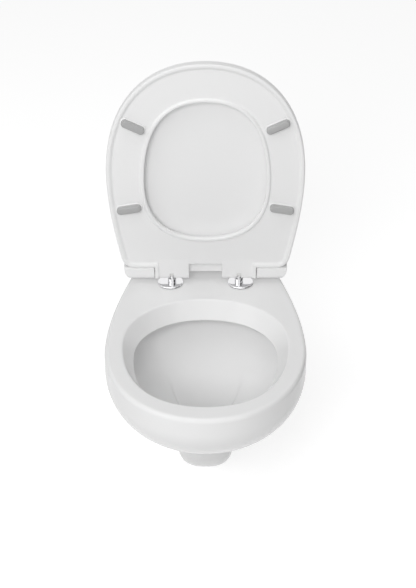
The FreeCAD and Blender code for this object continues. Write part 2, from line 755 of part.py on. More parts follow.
def make_lid():
    skirt_low = S["seat_top"] + S["lid_gap"]
    whole = slab("lid_slab", lambda z: lid_outline(0.0, z), skirt_low, S["lid_top"], S["lid_end_corner"])
    top = float(S["lid_top"])
    soft = rounded("lid_soft", whole, S["lid_edge_radius"], lambda edge: level(edge, top))
    under = S["lid_top"] - S["lid_thickness"]
    hollow = extruded("lid_hollow_form", lid_outline(float(S["lid_skirt"]), float(skirt_low) - 1.0),
                      under - skirt_low + 1.0)
    front_part = box("lid_hollow_front", (-400.0, -600.0, -20.0), (400.0, -S["lid_rear_wall"], 40.0))
    hollow_front = common("lid_hollow", hollow, front_part)

    end_plan = slab("lid_end_plan", lambda z: lid_outline(0.0, z), -under_block, S["lid_top"] - 4.0,
                    S["lid_end_corner"])
    bars = []
    taking = [hollow_front,
              box("lid_middle", (-S["knuckle_outer"], 0.0, -20.0), (S["knuckle_outer"], 20.0, 30.0))]
    for side, name in ((-1.0, "left"), (1.0, "right")):
        inner, outer = lid_end_inner, S["lid_end_half_width"] + 2.0
        near = inner if side > 0 else -outer
        far = outer if side > 0 else -inner
        bars.append(rear_bar(f"lid_bar_{name}", S["knuckle_radius"], near, far))
        bars.append(box(f"lid_block_low_{name}", (near, -S["lid_end_reach"], -under_block), (far, 0.0, 2.0)))
        bars.append(box(f"lid_block_high_{name}", (near, -S["lid_end_reach"], 0.0),
                        (far, S["knuckle_radius"], skirt_low + 2.0)))
        slot_near = S["knuckle_inner"] - S["moving_gap"] if side > 0 else -lid_end_inner
        slot_far = lid_end_inner if side > 0 else -(S["knuckle_inner"] - S["moving_gap"])
        taking.append(box(f"lid_slot_{name}", (slot_near, -S["cutout_reach"], -20.0), (slot_far, 20.0, 30.0)))
        bore_near = lid_end_inner - 1.0 if side > 0 else -pivot_end
        bore_far = pivot_end if side > 0 else -lid_end_inner + 1.0
        taking.append(flatted_bar(f"pivot_bore_{name}", bore_near, bore_far, S["press_ease"]))
    ends = common("lid_ends", end_plan, fuse("lid_end_bars", *bars))
    return cut("lid", fuse("lid_solid", soft, ends), *taking)


def make_lid_buffer(name, side):
    low = S["seat_top"] + S["moving_gap"]
    high = S["lid_top"] - S["lid_thickness"]
    post = cylinder(f"lid_buffer_body_{name}", S["lid_buffer_radius"], high - low, z=low)
    bottom = float(low)
    item = rounded(f"lid_buffer_{name}", post, S["buffer_edge"], lambda edge: level(edge, bottom))
    across = S["seat_half_width"] - S["lid_buffer_inset"]
    reach = S["seat_reach"] - S["lid_buffer_from_tip"]
    return place(item, across * side, axis_y, axis_z + reach, OPEN)


# ---------------------------------------------------------------- hinges

def turned(side):
    """The left-hand hinge is the right-hand one turned half round."""
    return FreeCAD.Rotation(Z_AXIS, 0.0 if side > 0 else 180.0)


def make_hinge(side, name):
    """One quick-release hinge: trim disc, gasket, post, damper, lid pivot and the fixing below the deck."""
    hole_x = S["hole_half_spacing"] * side
    gap = S["running_clearance"]
    made = []

    def through(label, low, high):
        return cylinder(f"{label}_{name}", S["stud_radius"] + gap, dim(high) - dim(low), z=low)

    disc_low = S["gasket_thickness"]
    disc_high = disc_low + S["disc_thickness"]
    disc = cylinder(f"disc_blank_{name}", S["disc_radius"], S["disc_thickness"], z=disc_low)
    top = float(disc_high)
    soft = rounded(f"disc_soft_{name}", disc, S["disc_bevel"], lambda edge: level(edge, top))
    made.append(place(cut(f"hinge_disc_{name}", soft, through("disc_hole", 0.0, disc_high + 1.0)),
                      hole_x, axis_y, rim_top))

    gasket = cylinder(f"gasket_blank_{name}", S["gasket_radius"], S["gasket_thickness"])
    made.append(place(cut(f"hinge_gasket_{name}", gasket, through("gasket_hole", -1.0, 2.0)),
                      hole_x, axis_y, rim_top))

    lean = S["post_half_spacing"] - S["hole_half_spacing"]
    boss = cylinder(f"post_boss_{name}", S["boss_radius"], S["axis_rise"] - 10.0 - disc_high, x=lean,
                    z=disc_high)
    boss_top = float(S["axis_rise"] - 10.0)
    soft_boss = rounded(f"post_shoulder_{name}", boss, 1.5, lambda edge: level(edge, boss_top))
    neck = cylinder(f"post_neck_{name}", S["neck_radius"], 14.0, x=lean, z=S["axis_rise"] - 11.0)
    stud = cylinder(f"post_stud_{name}", S["stud_radius"], S["stud_length"],
                    z=disc_high + 1.0 - S["stud_length"])
    made.append(place(fuse(f"hinge_post_{name}", soft_boss, neck, stud), hole_x, axis_y, rim_top,
                      turned(side)))

    core = rear_bar(f"damper_core_{name}", S["damper_radius"], damper_inner, damper_outer)
    hole = cylinder(f"damper_post_hole_{name}", S["neck_radius"] + gap, 20.0,
                    x=S["post_half_spacing"], z=-16.95)
    bore = rear_bar(f"damper_end_bore_{name}", S["pivot_radius"] + gap, damper_bore_end, damper_outer + 1.0)
    made.append(place(cut(f"soft_close_damper_{name}", core, hole, bore), 0.0, axis_y, axis_z, turned(side)))

    inner = rear_bar(f"pivot_inner_{name}", S["pivot_radius"], damper_bore_end + 1.0, lid_end_inner)
    outer = flatted_bar(f"pivot_outer_{name}", lid_end_inner - 1.0, pivot_end - 0.5)
    made.append(place(fuse(f"lid_pivot_{name}", inner, outer), 0.0, axis_y, axis_z,
                      OPEN.multiply(turned(side))))

    under = -S["deck_thickness"]
    flange = cylinder(f"bush_flange_{name}", S["bush_radius"], S["bush_thickness"],
                      z=under - S["bush_thickness"])
    sleeve = cylinder(f"bush_sleeve_{name}", S["seat_hole_radius"] - gap, 8.0 + S["bush_thickness"],
                      z=under - S["bush_thickness"])
    bush = fuse(f"bush_blank_{name}", flange, sleeve)
    made.append(place(cut(f"hinge_bush_{name}", bush, through("bush_hole", under - 10.0, 0.0)),
                      hole_x, axis_y, rim_top))

    washer_top = under - S["bush_thickness"]
    nut_top = washer_top - S["washer_thickness"]
    washer = cylinder(f"washer_blank_{name}", S["washer_radius"], S["washer_thickness"], z=nut_top)
    washer_hole = through("washer_hole", nut_top - 1.0, washer_top + 1.0)
    made.append(place(cut(f"hinge_washer_{name}", washer, washer_hole), hole_x, axis_y, rim_top))

    hub = cylinder(f"nut_hub_{name}", S["nut_hub_radius"], S["nut_hub_height"],
                   z=nut_top - S["nut_hub_height"])
    half, thick = S["nut_wing_span"] * 0.5, S["nut_wing_thickness"] * 0.5
    wings = box(f"nut_wings_{name}", (-half, -thick, nut_top - S["nut_hub_height"] - 3.0),
                (half, thick, nut_top - 3.0))
    soft_wings = rounded(f"nut_wings_soft_{name}", wings, 3.0, lambda edge: edge.BoundBox.YLength > 1.0
                         and edge.BoundBox.XLength < 0.01)
    nut = fuse(f"nut_blank_{name}", hub, soft_wings)
    made.append(place(cut(f"wing_nut_{name}", nut, through("nut_thread", nut_top - 20.0, nut_top + 1.0)),
                      hole_x, axis_y, rim_top))
    return made


# ---------------------------------------------------------------- assembly

pan = make_pan()
seat = place(make_seat(), 0.0, axis_y, axis_z, OPEN)
lid = place(make_lid(), 0.0, axis_y, axis_z, OPEN)
parts = [pan, seat, lid]
parts += [make_buffer(*spot) for spot in buffer_places()]
for side, name in ((-1.0, "left"), (1.0, "right")):
    parts.append(make_lid_buffer(name, side))
    parts += make_hinge(side, name)
doc.recompute()

broken = [item.Name for item in doc.Objects if "Invalid" in item.State or "Error" in item.State]
if broken:
    raise RuntimeError(f"objects that failed to rebuild: {broken}")
for item in parts:
    item.Label = item.Name
    shape = item.Shape
    if shape.isNull() or not shape.isValid() or len(shape.Solids) != 1:
        raise RuntimeError(f"{item.Label}: not one valid solid")

os.makedirs("parts", exist_ok=True)
for item in parts:
    item.Shape.exportStep(f"parts/{item.Label}.step")
print(f"{len(parts)} pieces written")
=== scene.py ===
import math

import bmesh
import bpy
import numpy as np
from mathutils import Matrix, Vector


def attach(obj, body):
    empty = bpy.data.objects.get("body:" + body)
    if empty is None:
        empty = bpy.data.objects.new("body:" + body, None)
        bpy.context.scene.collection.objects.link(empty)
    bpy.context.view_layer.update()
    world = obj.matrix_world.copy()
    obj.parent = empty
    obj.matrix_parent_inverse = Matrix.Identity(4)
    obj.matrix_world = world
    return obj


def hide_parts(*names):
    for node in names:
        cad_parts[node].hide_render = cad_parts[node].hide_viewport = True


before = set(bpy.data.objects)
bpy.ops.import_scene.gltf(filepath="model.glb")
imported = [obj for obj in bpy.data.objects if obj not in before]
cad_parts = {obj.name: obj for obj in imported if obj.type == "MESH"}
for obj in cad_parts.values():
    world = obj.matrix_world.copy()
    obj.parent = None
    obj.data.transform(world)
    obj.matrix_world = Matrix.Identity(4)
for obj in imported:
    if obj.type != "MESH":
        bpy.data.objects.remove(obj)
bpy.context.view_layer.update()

# x runs to the right for someone facing the wall, y into the wall and z up, from midway between the bolts.
# Seat and lid are worked out closed, about the hinge axis and with the front towards -y, then stood up.

MM = 0.001
MERGE, COLLAPSE = 1e-6, 1e-7     # metres: points merged, and edges dropped as having no length
UP = (0.0, 0.0, 1.0)
SIDES = ((-1.0, "left"), (1.0, "right"))

# ---------- sizes, in millimetres

WALL_TO_AXIS = 92.0          # hinge axis in front of the wall
RIM_Z = 80.0                 # top of the rim
AXIS_Z = 102.0               # hinge axis
WIDEST_Y = -302.0            # widest place of the rim
RIM_HALF, RIM_TIP = 178.0, -520.5
RIM_FULL = 0.584             # this and each FULL: length of an oval's handles, as a share of its quarter
ROUND = 0.5523               # the same for a circle
WALL_HALF, WALL_TAPER = 122.0, 0.29
BAND_Z = 45.6                # foot of the rim's upright band
RIM_EDGE, WALL_EDGE, MOUTH_EDGE = 8.0, 1.5, 5.0     # edge radii: rim, rim beside the wall, mouth
RIM_THICK, WALL_THICK = 12.0, 11.0
DECK_UNDER = 66.0            # underside of the deck
BOLT_X, BOLT_R = 90.0, 11.0
INLET_Z, INLET_R = 35.0, 27.5
THROAT_Y, THROAT_Z = -234.5, -150.0      # where the bowl ends and the trap begins
THROAT_R, THROAT_SKIN = 37.5, 50.0       # inner and outer radius there

MOUTH_HALF, MOUTH_TIP, MOUTH_REAR, MOUTH_WIDEST = 147.0, -482.0, -150.0, -292.0
MOUTH_FULL, MOUTH_REAR_FULL = 0.625, 0.584
SKIRT_Z, SKIRT_LEAN, SKIRT_THICK = 45.5, 21.0, 8.0   # the rim's hanging inner wall
CREASE_LOW, CREASE_HIGH, SWELL = 31.0, 38.0, 5.5     # bearings of the sump's creases, swell beside them

SEAT_HALF, SEAT_REACH, SEAT_WIDEST, SEAT_FULL = 178.4, 427.8, 213.0, 0.613
SEAT_REAR, SEAT_REAR_HALF, SEAT_TAPER, SEAT_CORNER = 17.3, 150.8, 0.219, 22.0
SEAT_TOP, BLOCK_UNDER, BEAD = 7.0, 9.25, 3.0
HOLE_HALF, HOLE_FRONT, HOLE_REAR, HOLE_WIDEST, HOLE_FULL = 110.5, 354.9, 80.7, 196.0, 0.664
KNUCKLE_IN, KNUCKLE_OUT, KNUCKLE_R = 31.0, 93.4, 9.25
POST_X, HOLE_X, SLOT_HALF = 62.5, 65.5, 4.4
BLOCK_HALF, BLOCK_REACH = 87.3, 36.0       # where the outer bead stops, how far the hinge blocks run in
LID_TOP, LID_LOW, LID_UNDER, LID_SETBACK = 16.0, 8.0, 12.0, 5.0
LID_END_HALF, LID_END_REACH, LID_END_CORNER, LID_TAPER = 148.5, 16.2, 12.0, 0.12
LID_CUT, LID_JOIN, LID_BAR_END = 25.5, -27.5, 1.8    # lid_bar and lid_end run 2 mm into the shell
GAP, SIDE_GAP = 0.4, 2.0       # beside the lid's bar, and beside its outer ends
END_STEP = 0.4                 # pieces repeated across get a second ring this near each end face
BEVEL = 1.2                    # edges of the flat plates

# ---------- shader groups and materials


def socket(tree, name, kind, direction, value=None):
    """Adds an input or output to a node group, with its default where one is given."""
    item = tree.interface.new_socket(name=name, in_out=direction, socket_type=kind)
    if value is not None:
        item.default_value = value
    return item


def surface_group():
    """Group 'moulded_surface': faint waviness of a moulded or glazed skin, on Object coordinates.

    Puts out a colour, a roughness and a normal. Colour is the base colour times one plus a cloudy noise;
    roughness is the base roughness plus the same cloud; the normal comes from two bumps, a wide ripple and a
    fine grain.
    """
    cloud_rough = 0.12
    tree = bpy.data.node_groups.new("moulded_surface", "ShaderNodeTree")
    socket(tree, "Colour", "NodeSocketColor", "INPUT", (0.9, 0.9, 0.9, 1.0))
    for key, value in (("Roughness", 0.2), ("Cloud Size", 12.0), ("Cloud Tint", 0.02), ("Ripple Size", 60.0),
                       ("Ripple Height", 0.0002), ("Grain Size", 900.0), ("Grain Height", 0.00001)):
        socket(tree, key, "NodeSocketFloat", "INPUT", value)
    socket(tree, "Colour", "NodeSocketColor", "OUTPUT")
    socket(tree, "Roughness", "NodeSocketFloat", "OUTPUT")
    socket(tree, "Normal", "NodeSocketVector", "OUTPUT")
    nodes, links = tree.nodes, tree.links
    given = nodes.new("NodeGroupInput")
    out = nodes.new("NodeGroupOutput")
    place = nodes.new("ShaderNodeTexCoord")

    def noise(scale_socket, detail):
        """Noise whose scale is one of the group's inputs."""
        item = nodes.new("ShaderNodeTexNoise")
        item.inputs["Detail"].default_value = detail
        links.new(place.outputs["Object"], item.inputs["Vector"])
        links.new(given.outputs[scale_socket], item.inputs["Scale"])
        return item.outputs["Fac"]

    def maths(operation, first, second):
        """Math node on two values, each a number or a link."""
        item = nodes.new("ShaderNodeMath")
        item.operation = operation
        for number, value in enumerate((first, second)):
            if isinstance(value, float):
                item.inputs[number].default_value = value
            else:
                links.new(value, item.inputs[number])
        return item.outputs[0]

    cloud = maths("SUBTRACT", noise("Cloud Size", 3.0), 0.5)
    tint = maths("ADD", maths("MULTIPLY", cloud, given.outputs["Cloud Tint"]), 1.0)
    shade = nodes.new("ShaderNodeVectorMath")
    shade.operation = "SCALE"
    links.new(given.outputs["Colour"], shade.inputs[0])
    links.new(tint, shade.inputs["Scale"])
    links.new(shade.outputs["Vector"], out.inputs["Colour"])
    rough = maths("ADD", given.outputs["Roughness"], maths("MULTIPLY", cloud, cloud_rough))
    links.new(rough, out.inputs["Roughness"])
    bumps = []
    for key, detail in (("Ripple", 1.0), ("Grain", 2.0)):
        bump = nodes.new("ShaderNodeBump")
        bump.inputs["Strength"].default_value = 1.0
        links.new(given.outputs[f"{key} Height"], bump.inputs["Distance"])
        links.new(noise(f"{key} Size", detail), bump.inputs["Height"])
        bumps.append(bump)
    ripple, grain = bumps
    links.new(ripple.outputs["Normal"], grain.inputs["Normal"])
    links.new(grain.outputs["Normal"], out.inputs["Normal"])
    return tree


SURFACE = surface_group()


def finish(name, colour, roughness, metallic=0.0, specular=0.5, **surface):
    """A Principled material whose colour, roughness and normal come from the moulded_surface group."""
    material = bpy.data.materials.new(name)
    material.use_nodes = True
    nodes, links = material.node_tree.nodes, material.node_tree.links
    shader = nodes["Principled BSDF"]
    shader.inputs["Metallic"].default_value = metallic
    shader.inputs["Specular IOR Level"].default_value = specular
    group = nodes.new("ShaderNodeGroup")
    group.node_tree = SURFACE
    group.inputs["Colour"].default_value = (*colour, 1.0)
    group.inputs["Roughness"].default_value = roughness
    for key, value in surface.items():
        group.inputs[key.replace("_", " ").title()].default_value = value
    links.new(group.outputs["Colour"], shader.inputs["Base Color"])
    links.new(group.outputs["Roughness"], shader.inputs["Roughness"])
    links.new(group.outputs["Normal"], shader.inputs["Normal"])
    return material


GLAZE = finish("white_glaze", (0.93, 0.93, 0.93), 0.24, specular=0.5, cloud_tint=0.012, ripple_size=28.0,
               ripple_height=0.00035, grain_size=420.0, grain_height=0.000008)
SEAT_PLASTIC = finish("white_thermoset", (0.93, 0.93, 0.93), 0.34, specular=0.45, cloud_tint=0.01,
                      ripple_size=22.0, ripple_height=0.0002, grain_size=700.0, grain_height=0.000012)
BUFFER_RUBBER = finish("grey_rubber", (0.47, 0.47, 0.47), 0.62, specular=0.3, cloud_tint=0.05,
                       ripple_size=160.0, ripple_height=0.00006, grain_size=1500.0, grain_height=0.00003)
SEAL_RUBBER = finish("dark_rubber", (0.06, 0.06, 0.06), 0.7, specular=0.3, cloud_tint=0.08,
                     grain_size=1500.0, grain_height=0.00004)
CHROME = finish("hinge_chrome", (0.86, 0.86, 0.87), 0.1, metallic=1.0, cloud_tint=0.01,
                ripple_size=20.0, ripple_height=0.000001, grain_size=900.0, grain_height=0.0)
STEEL = finish("washer_steel", (0.55, 0.55, 0.56), 0.36, metallic=1.0, cloud_tint=0.03,
               grain_size=1600.0, grain_height=0.00001)
PALE_PLASTIC = finish("pale_plastic", (0.8, 0.8, 0.79), 0.45, specular=0.4, cloud_tint=0.03,
                      grain_size=1200.0, grain_height=0.00002)

# material, body, replaced node and slot of the pieces that make up one big node
PAN = (GLAZE, "pan", "ceramic_pan", "glaze")
SEAT = (SEAT_PLASTIC, "seat", "seat_ring", "seat_plastic")
LID = (SEAT_PLASTIC, "cover", "lid", "seat_plastic")

# ---------- mesh makers


def in_scene(name, data):
    """New object in the scene for a mesh, curve, lamp or camera."""
    item = bpy.data.objects.new(name, data)
    bpy.context.scene.collection.objects.link(item)
    return item


def add_piece(name, points, faces, material, body, node, slot, sharp=35.0):
    """Turns points (millimetres) and faces into one closed mesh that faces outwards and replaces a node."""
    mesh = bpy.data.meshes.new(name)
    mesh.from_pydata((np.asarray(points, float) * MM).tolist(), [], [list(f) for f in faces])
    work = bmesh.new()
    work.from_mesh(mesh)
    bmesh.ops.remove_doubles(work, verts=work.verts, dist=MERGE)
    bmesh.ops.dissolve_degenerate(work, edges=work.edges, dist=COLLAPSE)
    bmesh.ops.recalc_face_normals(work, faces=work.faces)
    if work.calc_volume(signed=True) < 0:
        bmesh.ops.reverse_faces(work, faces=work.faces)
    work.to_mesh(mesh)
    work.free()
    mesh.shade_smooth()
    mesh.set_sharp_from_angle(angle=math.radians(sharp))
    piece = in_scene(name, mesh)
    mesh.materials.append(material)
    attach(piece, body)
    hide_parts(node)


def grid_faces(rows, columns, close_rows):
    """Quads of a grid of rows by columns: each row is a closed ring, and the last row may join the first."""
    i = np.arange(rows if close_rows else rows - 1)[:, None]
    j = np.arange(columns)[None, :]
    i2, j2 = (i + 1) % rows, (j + 1) % columns
    corners = [i * columns + j, i * columns + j2, i2 * columns + j2, i2 * columns + j]
    return np.stack(corners, axis=-1).reshape(-1, 4)


def ring_surface(rows, close_rows=False):
    """Points and quads of a surface given as rows of closed rings; open ends are closed by flat caps."""
    rows = np.asarray(rows, float)
    count, across = rows.shape[:2]
    faces = grid_faces(count, across, close_rows).tolist()
    if not close_rows:
        faces.append(list(range(across))[::-1])
        faces.append([(count - 1) * across + n for n in range(across)])
    return rows.reshape(-1, 3), faces


def bezier(points, t):
    """Cubic Bezier curve: the four control points weighted by the cubic Bernstein terms of t."""
    a, b, c, d = (np.asarray(p, float) for p in points)
    t = np.asarray(t, float)[:, None]
    return (1 - t) ** 3 * a + 3 * t * (1 - t) ** 2 * b + 3 * t * t * (1 - t) * c + t ** 3 * d


def quarter(wide, middle, tip, full, t):
    """Quarter of an oval from the widest point to the tip on the centreline, as one cubic curve."""
    run = tip - middle
    return bezier([(wide, middle), (wide, middle + full * run), (full * wide, tip), (0.0, tip)], t)


def both_sides(half):
    """Closes a right-hand half outline, front tip first, into a whole one by mirroring it in x."""
    mirror = half[1:-1][::-1].copy()
    mirror[:, 0] *= -1.0
    return np.concatenate([half, mirror])


FRONT_T = 1.0 - np.linspace(0.0, 1.0, 81)
REAR_T = np.linspace(0.0, 1.0, 81)[1:]
FLANK_POINTS, BACK_POINTS = 56, 24


def oval(wide, front, rear, middle, full, rear_full=None):
    """Whole oval outline, 320 points, starting at the front tip and running round by the right side."""
    rear_full = full if rear_full is None else rear_full
    ahead = quarter(wide, middle, front, full, FRONT_T)
    behind = quarter(wide, middle, rear, rear_full, REAR_T)
    return both_sides(np.concatenate([ahead, behind]))


def shield(wide, tip, middle, full, end_wide, end, taper, corner=0.0, stops=()):
    """Horseshoe outline with 320 points: oval front, flanks that narrow to a straight back, round corners.

    Each flank is a cubic that leaves the widest point straight back and meets the back at the given taper.
    The back runs in evenly to the first of the stops and then through all of them, or evenly to the
    centreline.
    """
    ahead = quarter(wide, middle, tip, full, FRONT_T)
    run = (end - middle) / 3.0
    flank = [(wide, middle), (wide, middle + run), (end_wide + taper * run, end - run), (end_wide, end)]
    side = bezier(flank, np.linspace(0.0, 1.0, FLANK_POINTS + 1)[1:])
    stops = stops or (0.0,)
    even = np.linspace(end_wide, stops[0], BACK_POINTS - len(stops) + 2)[1:]
    across = np.concatenate([even, stops[1:]])
    back = np.stack([across, np.full(across.shape, end)], axis=1)
    half = np.concatenate([ahead, side, back])
    if corner > 0.0:
        half = round_corner(half, np.array([end_wide, end]), corner)
    return both_sides(half)


def round_corner(points, corner, radius):
    """Moves the points near a corner onto a quadratic blend that meets the outline about a radius away."""
    step = np.linalg.norm(np.diff(points, axis=0), axis=1)
    along = np.concatenate([[0.0], np.cumsum(step)])
    here = along[np.argmin(np.linalg.norm(points - corner, axis=1))]
    reach = radius * 1.05
    ends = np.array([np.interp([here - reach, here + reach], along, points[:, k]) for k in (0, 1)]).T
    inside = np.abs(along - here) < reach
    t = ((along[inside] - here + reach) / (2 * reach))[:, None]
    moved = points.copy()
    moved[inside] = (1 - t) ** 2 * ends[0] + 2 * t * (1 - t) * corner + t * t * ends[1]
    return moved


def outward(curve):
    """Unit normals of a closed outline, pointing away from its middle."""
    tangent = np.roll(curve, -1, axis=0) - np.roll(curve, 1, axis=0)
    tangent /= np.maximum(np.linalg.norm(tangent, axis=1, keepdims=True), 1e-9)
    normal = np.stack([tangent[:, 1], -tangent[:, 0]], axis=1)
    if np.sum(normal * (curve - curve.mean(axis=0))) < 0:
        normal = -normal
    return normal


def level(curve, z):
    """An outline lifted to height z, where z may be one number or one for each point."""
    return np.column_stack([curve, np.broadcast_to(z, (len(curve),))])


def arc(radius, start, stop, count):
    """Pairs (along, up) on a circle about the origin between two angles in degrees."""
    angles = np.radians(np.linspace(start, stop, count))
    return np.stack([radius * np.cos(angles), radius * np.sin(angles)], axis=1)


def smooth(x, low, high):
    """Zero below low, one above high, and a smooth S between."""
    t = np.clip((np.asarray(x, float) - low) / (high - low), 0.0, 1.0)
    return t * t * (3.0 - 2.0 * t)


def rounded(corners, steps=7, margin=0.35):
    """Profile through (along, up, radius) corners, each one turned into an arc tangent to its sides.

    The arc's centre lies on the bisector of the corner. A support point just outside each end of the arc
    keeps the flats beside it flat in the shading. Corners of radius 0 stay as they are.
    """
    corners = np.asarray(corners, float)
    points = [corners[:1, :2]]
    for before, (x, z, radius), after in zip(corners[:-2], corners[1:-1], corners[2:]):
        here = np.array([x, z])
        if radius == 0.0:
            points.append(here[None])
            continue
        sides = np.array([before[:2] - here, after[:2] - here])
        sides /= np.linalg.norm(sides, axis=1, keepdims=True)
        half = 0.5 * math.acos(float(sides[0] @ sides[1]))
        run = radius / math.tan(half)
        middle = sides.sum(axis=0)
        centre = here + middle / np.linalg.norm(middle) * radius / math.sin(half)
        first, last = here + sides * run - centre
        start = math.atan2(first[1], first[0])
        sweep = (math.atan2(last[1], last[0]) - start + math.pi) % (2.0 * math.pi) - math.pi
        angles = start + sweep * np.linspace(0.0, 1.0, steps)
        curve = centre + radius * np.stack([np.cos(angles), np.sin(angles)], axis=1)
        ends = here + sides * (run + margin)
        points += [ends[:1], curve, ends[1:]]
    return np.concatenate(points + [corners[-1:, :2]])


# ---------- ceramic pan


def bowl_rows(control, rings):
    """Rings of the bowl's skin from the band down to the throat, evenly spaced in the depth's parameter.

    control holds four rows of (half width, front tip, rear tip, widest place, front fullness, rear
    fullness, height at the sides, height at the tips).
    """
    control = np.asarray(control, float)
    return np.array([bernstein_patch(control, t) for t in np.linspace(0.0, 1.0, rings)])


def bernstein_patch(control, t):
    """One ring of the bowl: the poles of its quarters, blended from the control rows, then run as cubics.

    Each control row gives every quarter four poles (x, y, z); the Bernstein terms of t blend the rows, and
    the height goes from the side's to the tip's with the cubic's own weights.
    """
    weights = np.array([(1 - t) ** 3, 3 * t * (1 - t) ** 2, 3 * t * t * (1 - t), t ** 3])
    quarters = []
    for tip_column, full_column in ((1, 4), (2, 5)):
        columns = (0, tip_column, 3, full_column, 6, 7)
        wide, tip, middle, full, z_side, z_tip = (control[:, k] for k in columns)
        run = tip - middle
        poles = np.stack([
            np.stack([wide, middle, z_side], axis=1),
            np.stack([wide, middle + full * run, z_side], axis=1),
            np.stack([full * wide, tip, z_tip], axis=1),
            np.stack([0.0 * wide, tip, z_tip], axis=1),
        ])
        quarters.append(np.einsum("r,prk->pk", weights, poles))
    return both_sides(np.concatenate([bezier(quarters[0], FRONT_T), bezier(quarters[1], REAR_T)]))


OUTER_CONTROL = [
    (RIM_HALF, RIM_TIP, -121.0, WIDEST_Y, RIM_FULL, RIM_FULL, BAND_Z, BAND_Z),
    (RIM_HALF, RIM_TIP, -121.0, WIDEST_Y, RIM_FULL, 0.65, -10.3, -16.4),
    (124.4, -424.0, -152.0, -254.5, RIM_FULL, 0.75, -61.8, -56.2),
    (THROAT_SKIN, THROAT_Y - THROAT_SKIN, THROAT_Y + THROAT_SKIN, THROAT_Y, ROUND, ROUND, THROAT_Z, THROAT_Z),
]
INNER_CONTROL = [
    (RIM_HALF - WALL_THICK, RIM_TIP + WALL_THICK, -130.0, WIDEST_Y, RIM_FULL, RIM_FULL, BAND_Z, BAND_Z),
    (RIM_HALF - WALL_THICK, RIM_TIP + WALL_THICK, -130.0, WIDEST_Y, RIM_FULL, 0.65, -10.3, -16.4),
    (112.0, -411.0, -166.0, -254.5, 0.66, 0.8, -61.8, -56.2),
    (THROAT_R, THROAT_Y - THROAT_R, THROAT_Y + THROAT_R, THROAT_Y, ROUND, ROUND, THROAT_Z, THROAT_Z),
]


def sump_creases(rows):
    """Inner skin with side walls that swell towards the sump and break off at a crease in each rear corner.

    swell = SWELL * S(bearing, crease - 34, crease - 8) * (1 - S(bearing, crease - 6, crease + 4))
            * S(z, -146, -126) * (1 - S(z, -96, -58)), towards the throat's axis,
    with S the smooth step and bearing the angle in degrees from the bowl's side to its rear.
    """
    away = rows[..., :2] - np.array([0.0, THROAT_Y])
    bearing = np.degrees(np.arctan2(away[..., 1], np.abs(away[..., 0])))
    z = rows[..., 2]
    crease = CREASE_LOW + (CREASE_HIGH - CREASE_LOW) * smooth(z, -122.0, -62.0)
    swell = smooth(bearing, crease - 34.0, crease - 8.0)
    swell = swell * (1.0 - smooth(bearing, crease - 6.0, crease + 4.0))
    swell = SWELL * swell * smooth(z, -146.0, -126.0) * (1.0 - smooth(z, -96.0, -58.0))
    towards = -away / np.linalg.norm(away, axis=-1, keepdims=True)
    rows = rows.copy()
    rows[..., :2] += towards * swell[..., None]
    return rows


def pan_body():
    """Bowl, box rim and deck as one closed surface of rings that run round the whole pan.

    From the throat the rings climb the bowl's outer skin, step out under the deck behind (where outline and
    bowl part), climb the band, turn over the rim's edge, cross the rim to the mouth, go down and up the
    leaning inner wall, out under the rim, and down the bowl's inner skin to the throat again.
    """
    lift_run, band_heights = 14.0, (50.0, 58.0, 66.0, 71.0)
    foot_round, root_round, run_in, corner = 2.2, 4.0, 6.0, 6.0
    outline = shield(RIM_HALF, RIM_TIP, WIDEST_Y, RIM_FULL, WALL_HALF, 0.0, WALL_TAPER)
    normal = outward(outline)
    outer = bowl_rows(OUTER_CONTROL, 49)[::-1]
    inner = sump_creases(bowl_rows(INNER_CONTROL, 61))
    collar = outer[-1][:, :2]
    room = np.linalg.norm(outline - collar, axis=1)
    room = np.minimum(room, np.abs(outline[:, 1] - collar[:, 1]) + np.abs(outline[:, 0] - collar[:, 0]))
    wall = np.minimum(WALL_THICK, room)
    lift = (DECK_UNDER - BAND_Z) * smooth(room, WALL_THICK, WALL_THICK + lift_run)
    inset = outline - normal * wall[:, None]
    inset = np.where((room <= WALL_THICK)[:, None], collar, inset)
    rows = list(outer)
    rows += [level(collar, BAND_Z + lift), level(inset, BAND_Z + lift)]
    rows += [level(inset, BAND_Z), level(outline, BAND_Z)]
    at_wall = smooth(outline[:, 1], -30.0, -2.0)
    edge = RIM_EDGE * (1.0 - at_wall) + WALL_EDGE * at_wall
    rows += [level(outline, z) for z in band_heights]
    for along, up in arc(1.0, 0.0, 90.0, 13):
        rows.append(level(outline - normal * (edge * (1.0 - along))[:, None], RIM_Z - edge * (1.0 - up)))
    mouth = oval(MOUTH_HALF, MOUTH_TIP, MOUTH_REAR, MOUTH_WIDEST, MOUTH_FULL, MOUTH_REAR_FULL)
    out = outward(mouth)
    top_edge = outline - normal * edge[:, None]
    lip = mouth + out * RIM_EDGE
    rows += [level(top_edge * (1.0 - share) + lip * share, RIM_Z) for share in (0.04, 0.15, 0.4, 0.7, 0.9)]
    under = RIM_Z - RIM_THICK
    back_lean = SKIRT_LEAN * RIM_THICK / (RIM_Z - SKIRT_Z)
    hanging = rounded([(RIM_EDGE, RIM_Z, 0.0), (0.0, RIM_Z, MOUTH_EDGE), (-SKIRT_LEAN, SKIRT_Z, foot_round),
                       (SKIRT_THICK - SKIRT_LEAN, SKIRT_Z, foot_round),
                       (SKIRT_THICK - back_lean, under, root_round), (SKIRT_THICK + run_in, under, 0.0)])
    rows += [level(mouth + out * outset, z) for outset, z in hanging]
    inner_top = inner[0][:, :2]
    hollow = outward(inner_top)
    for along, up in arc(corner, 90.0, 0.0, 7):
        rows.append(level(inner_top - hollow * (corner - along), under - corner + up))
    rows.extend(inner)
    add_piece("pan_body", *ring_surface(rows, close_rows=True), *PAN, sharp=38.0)


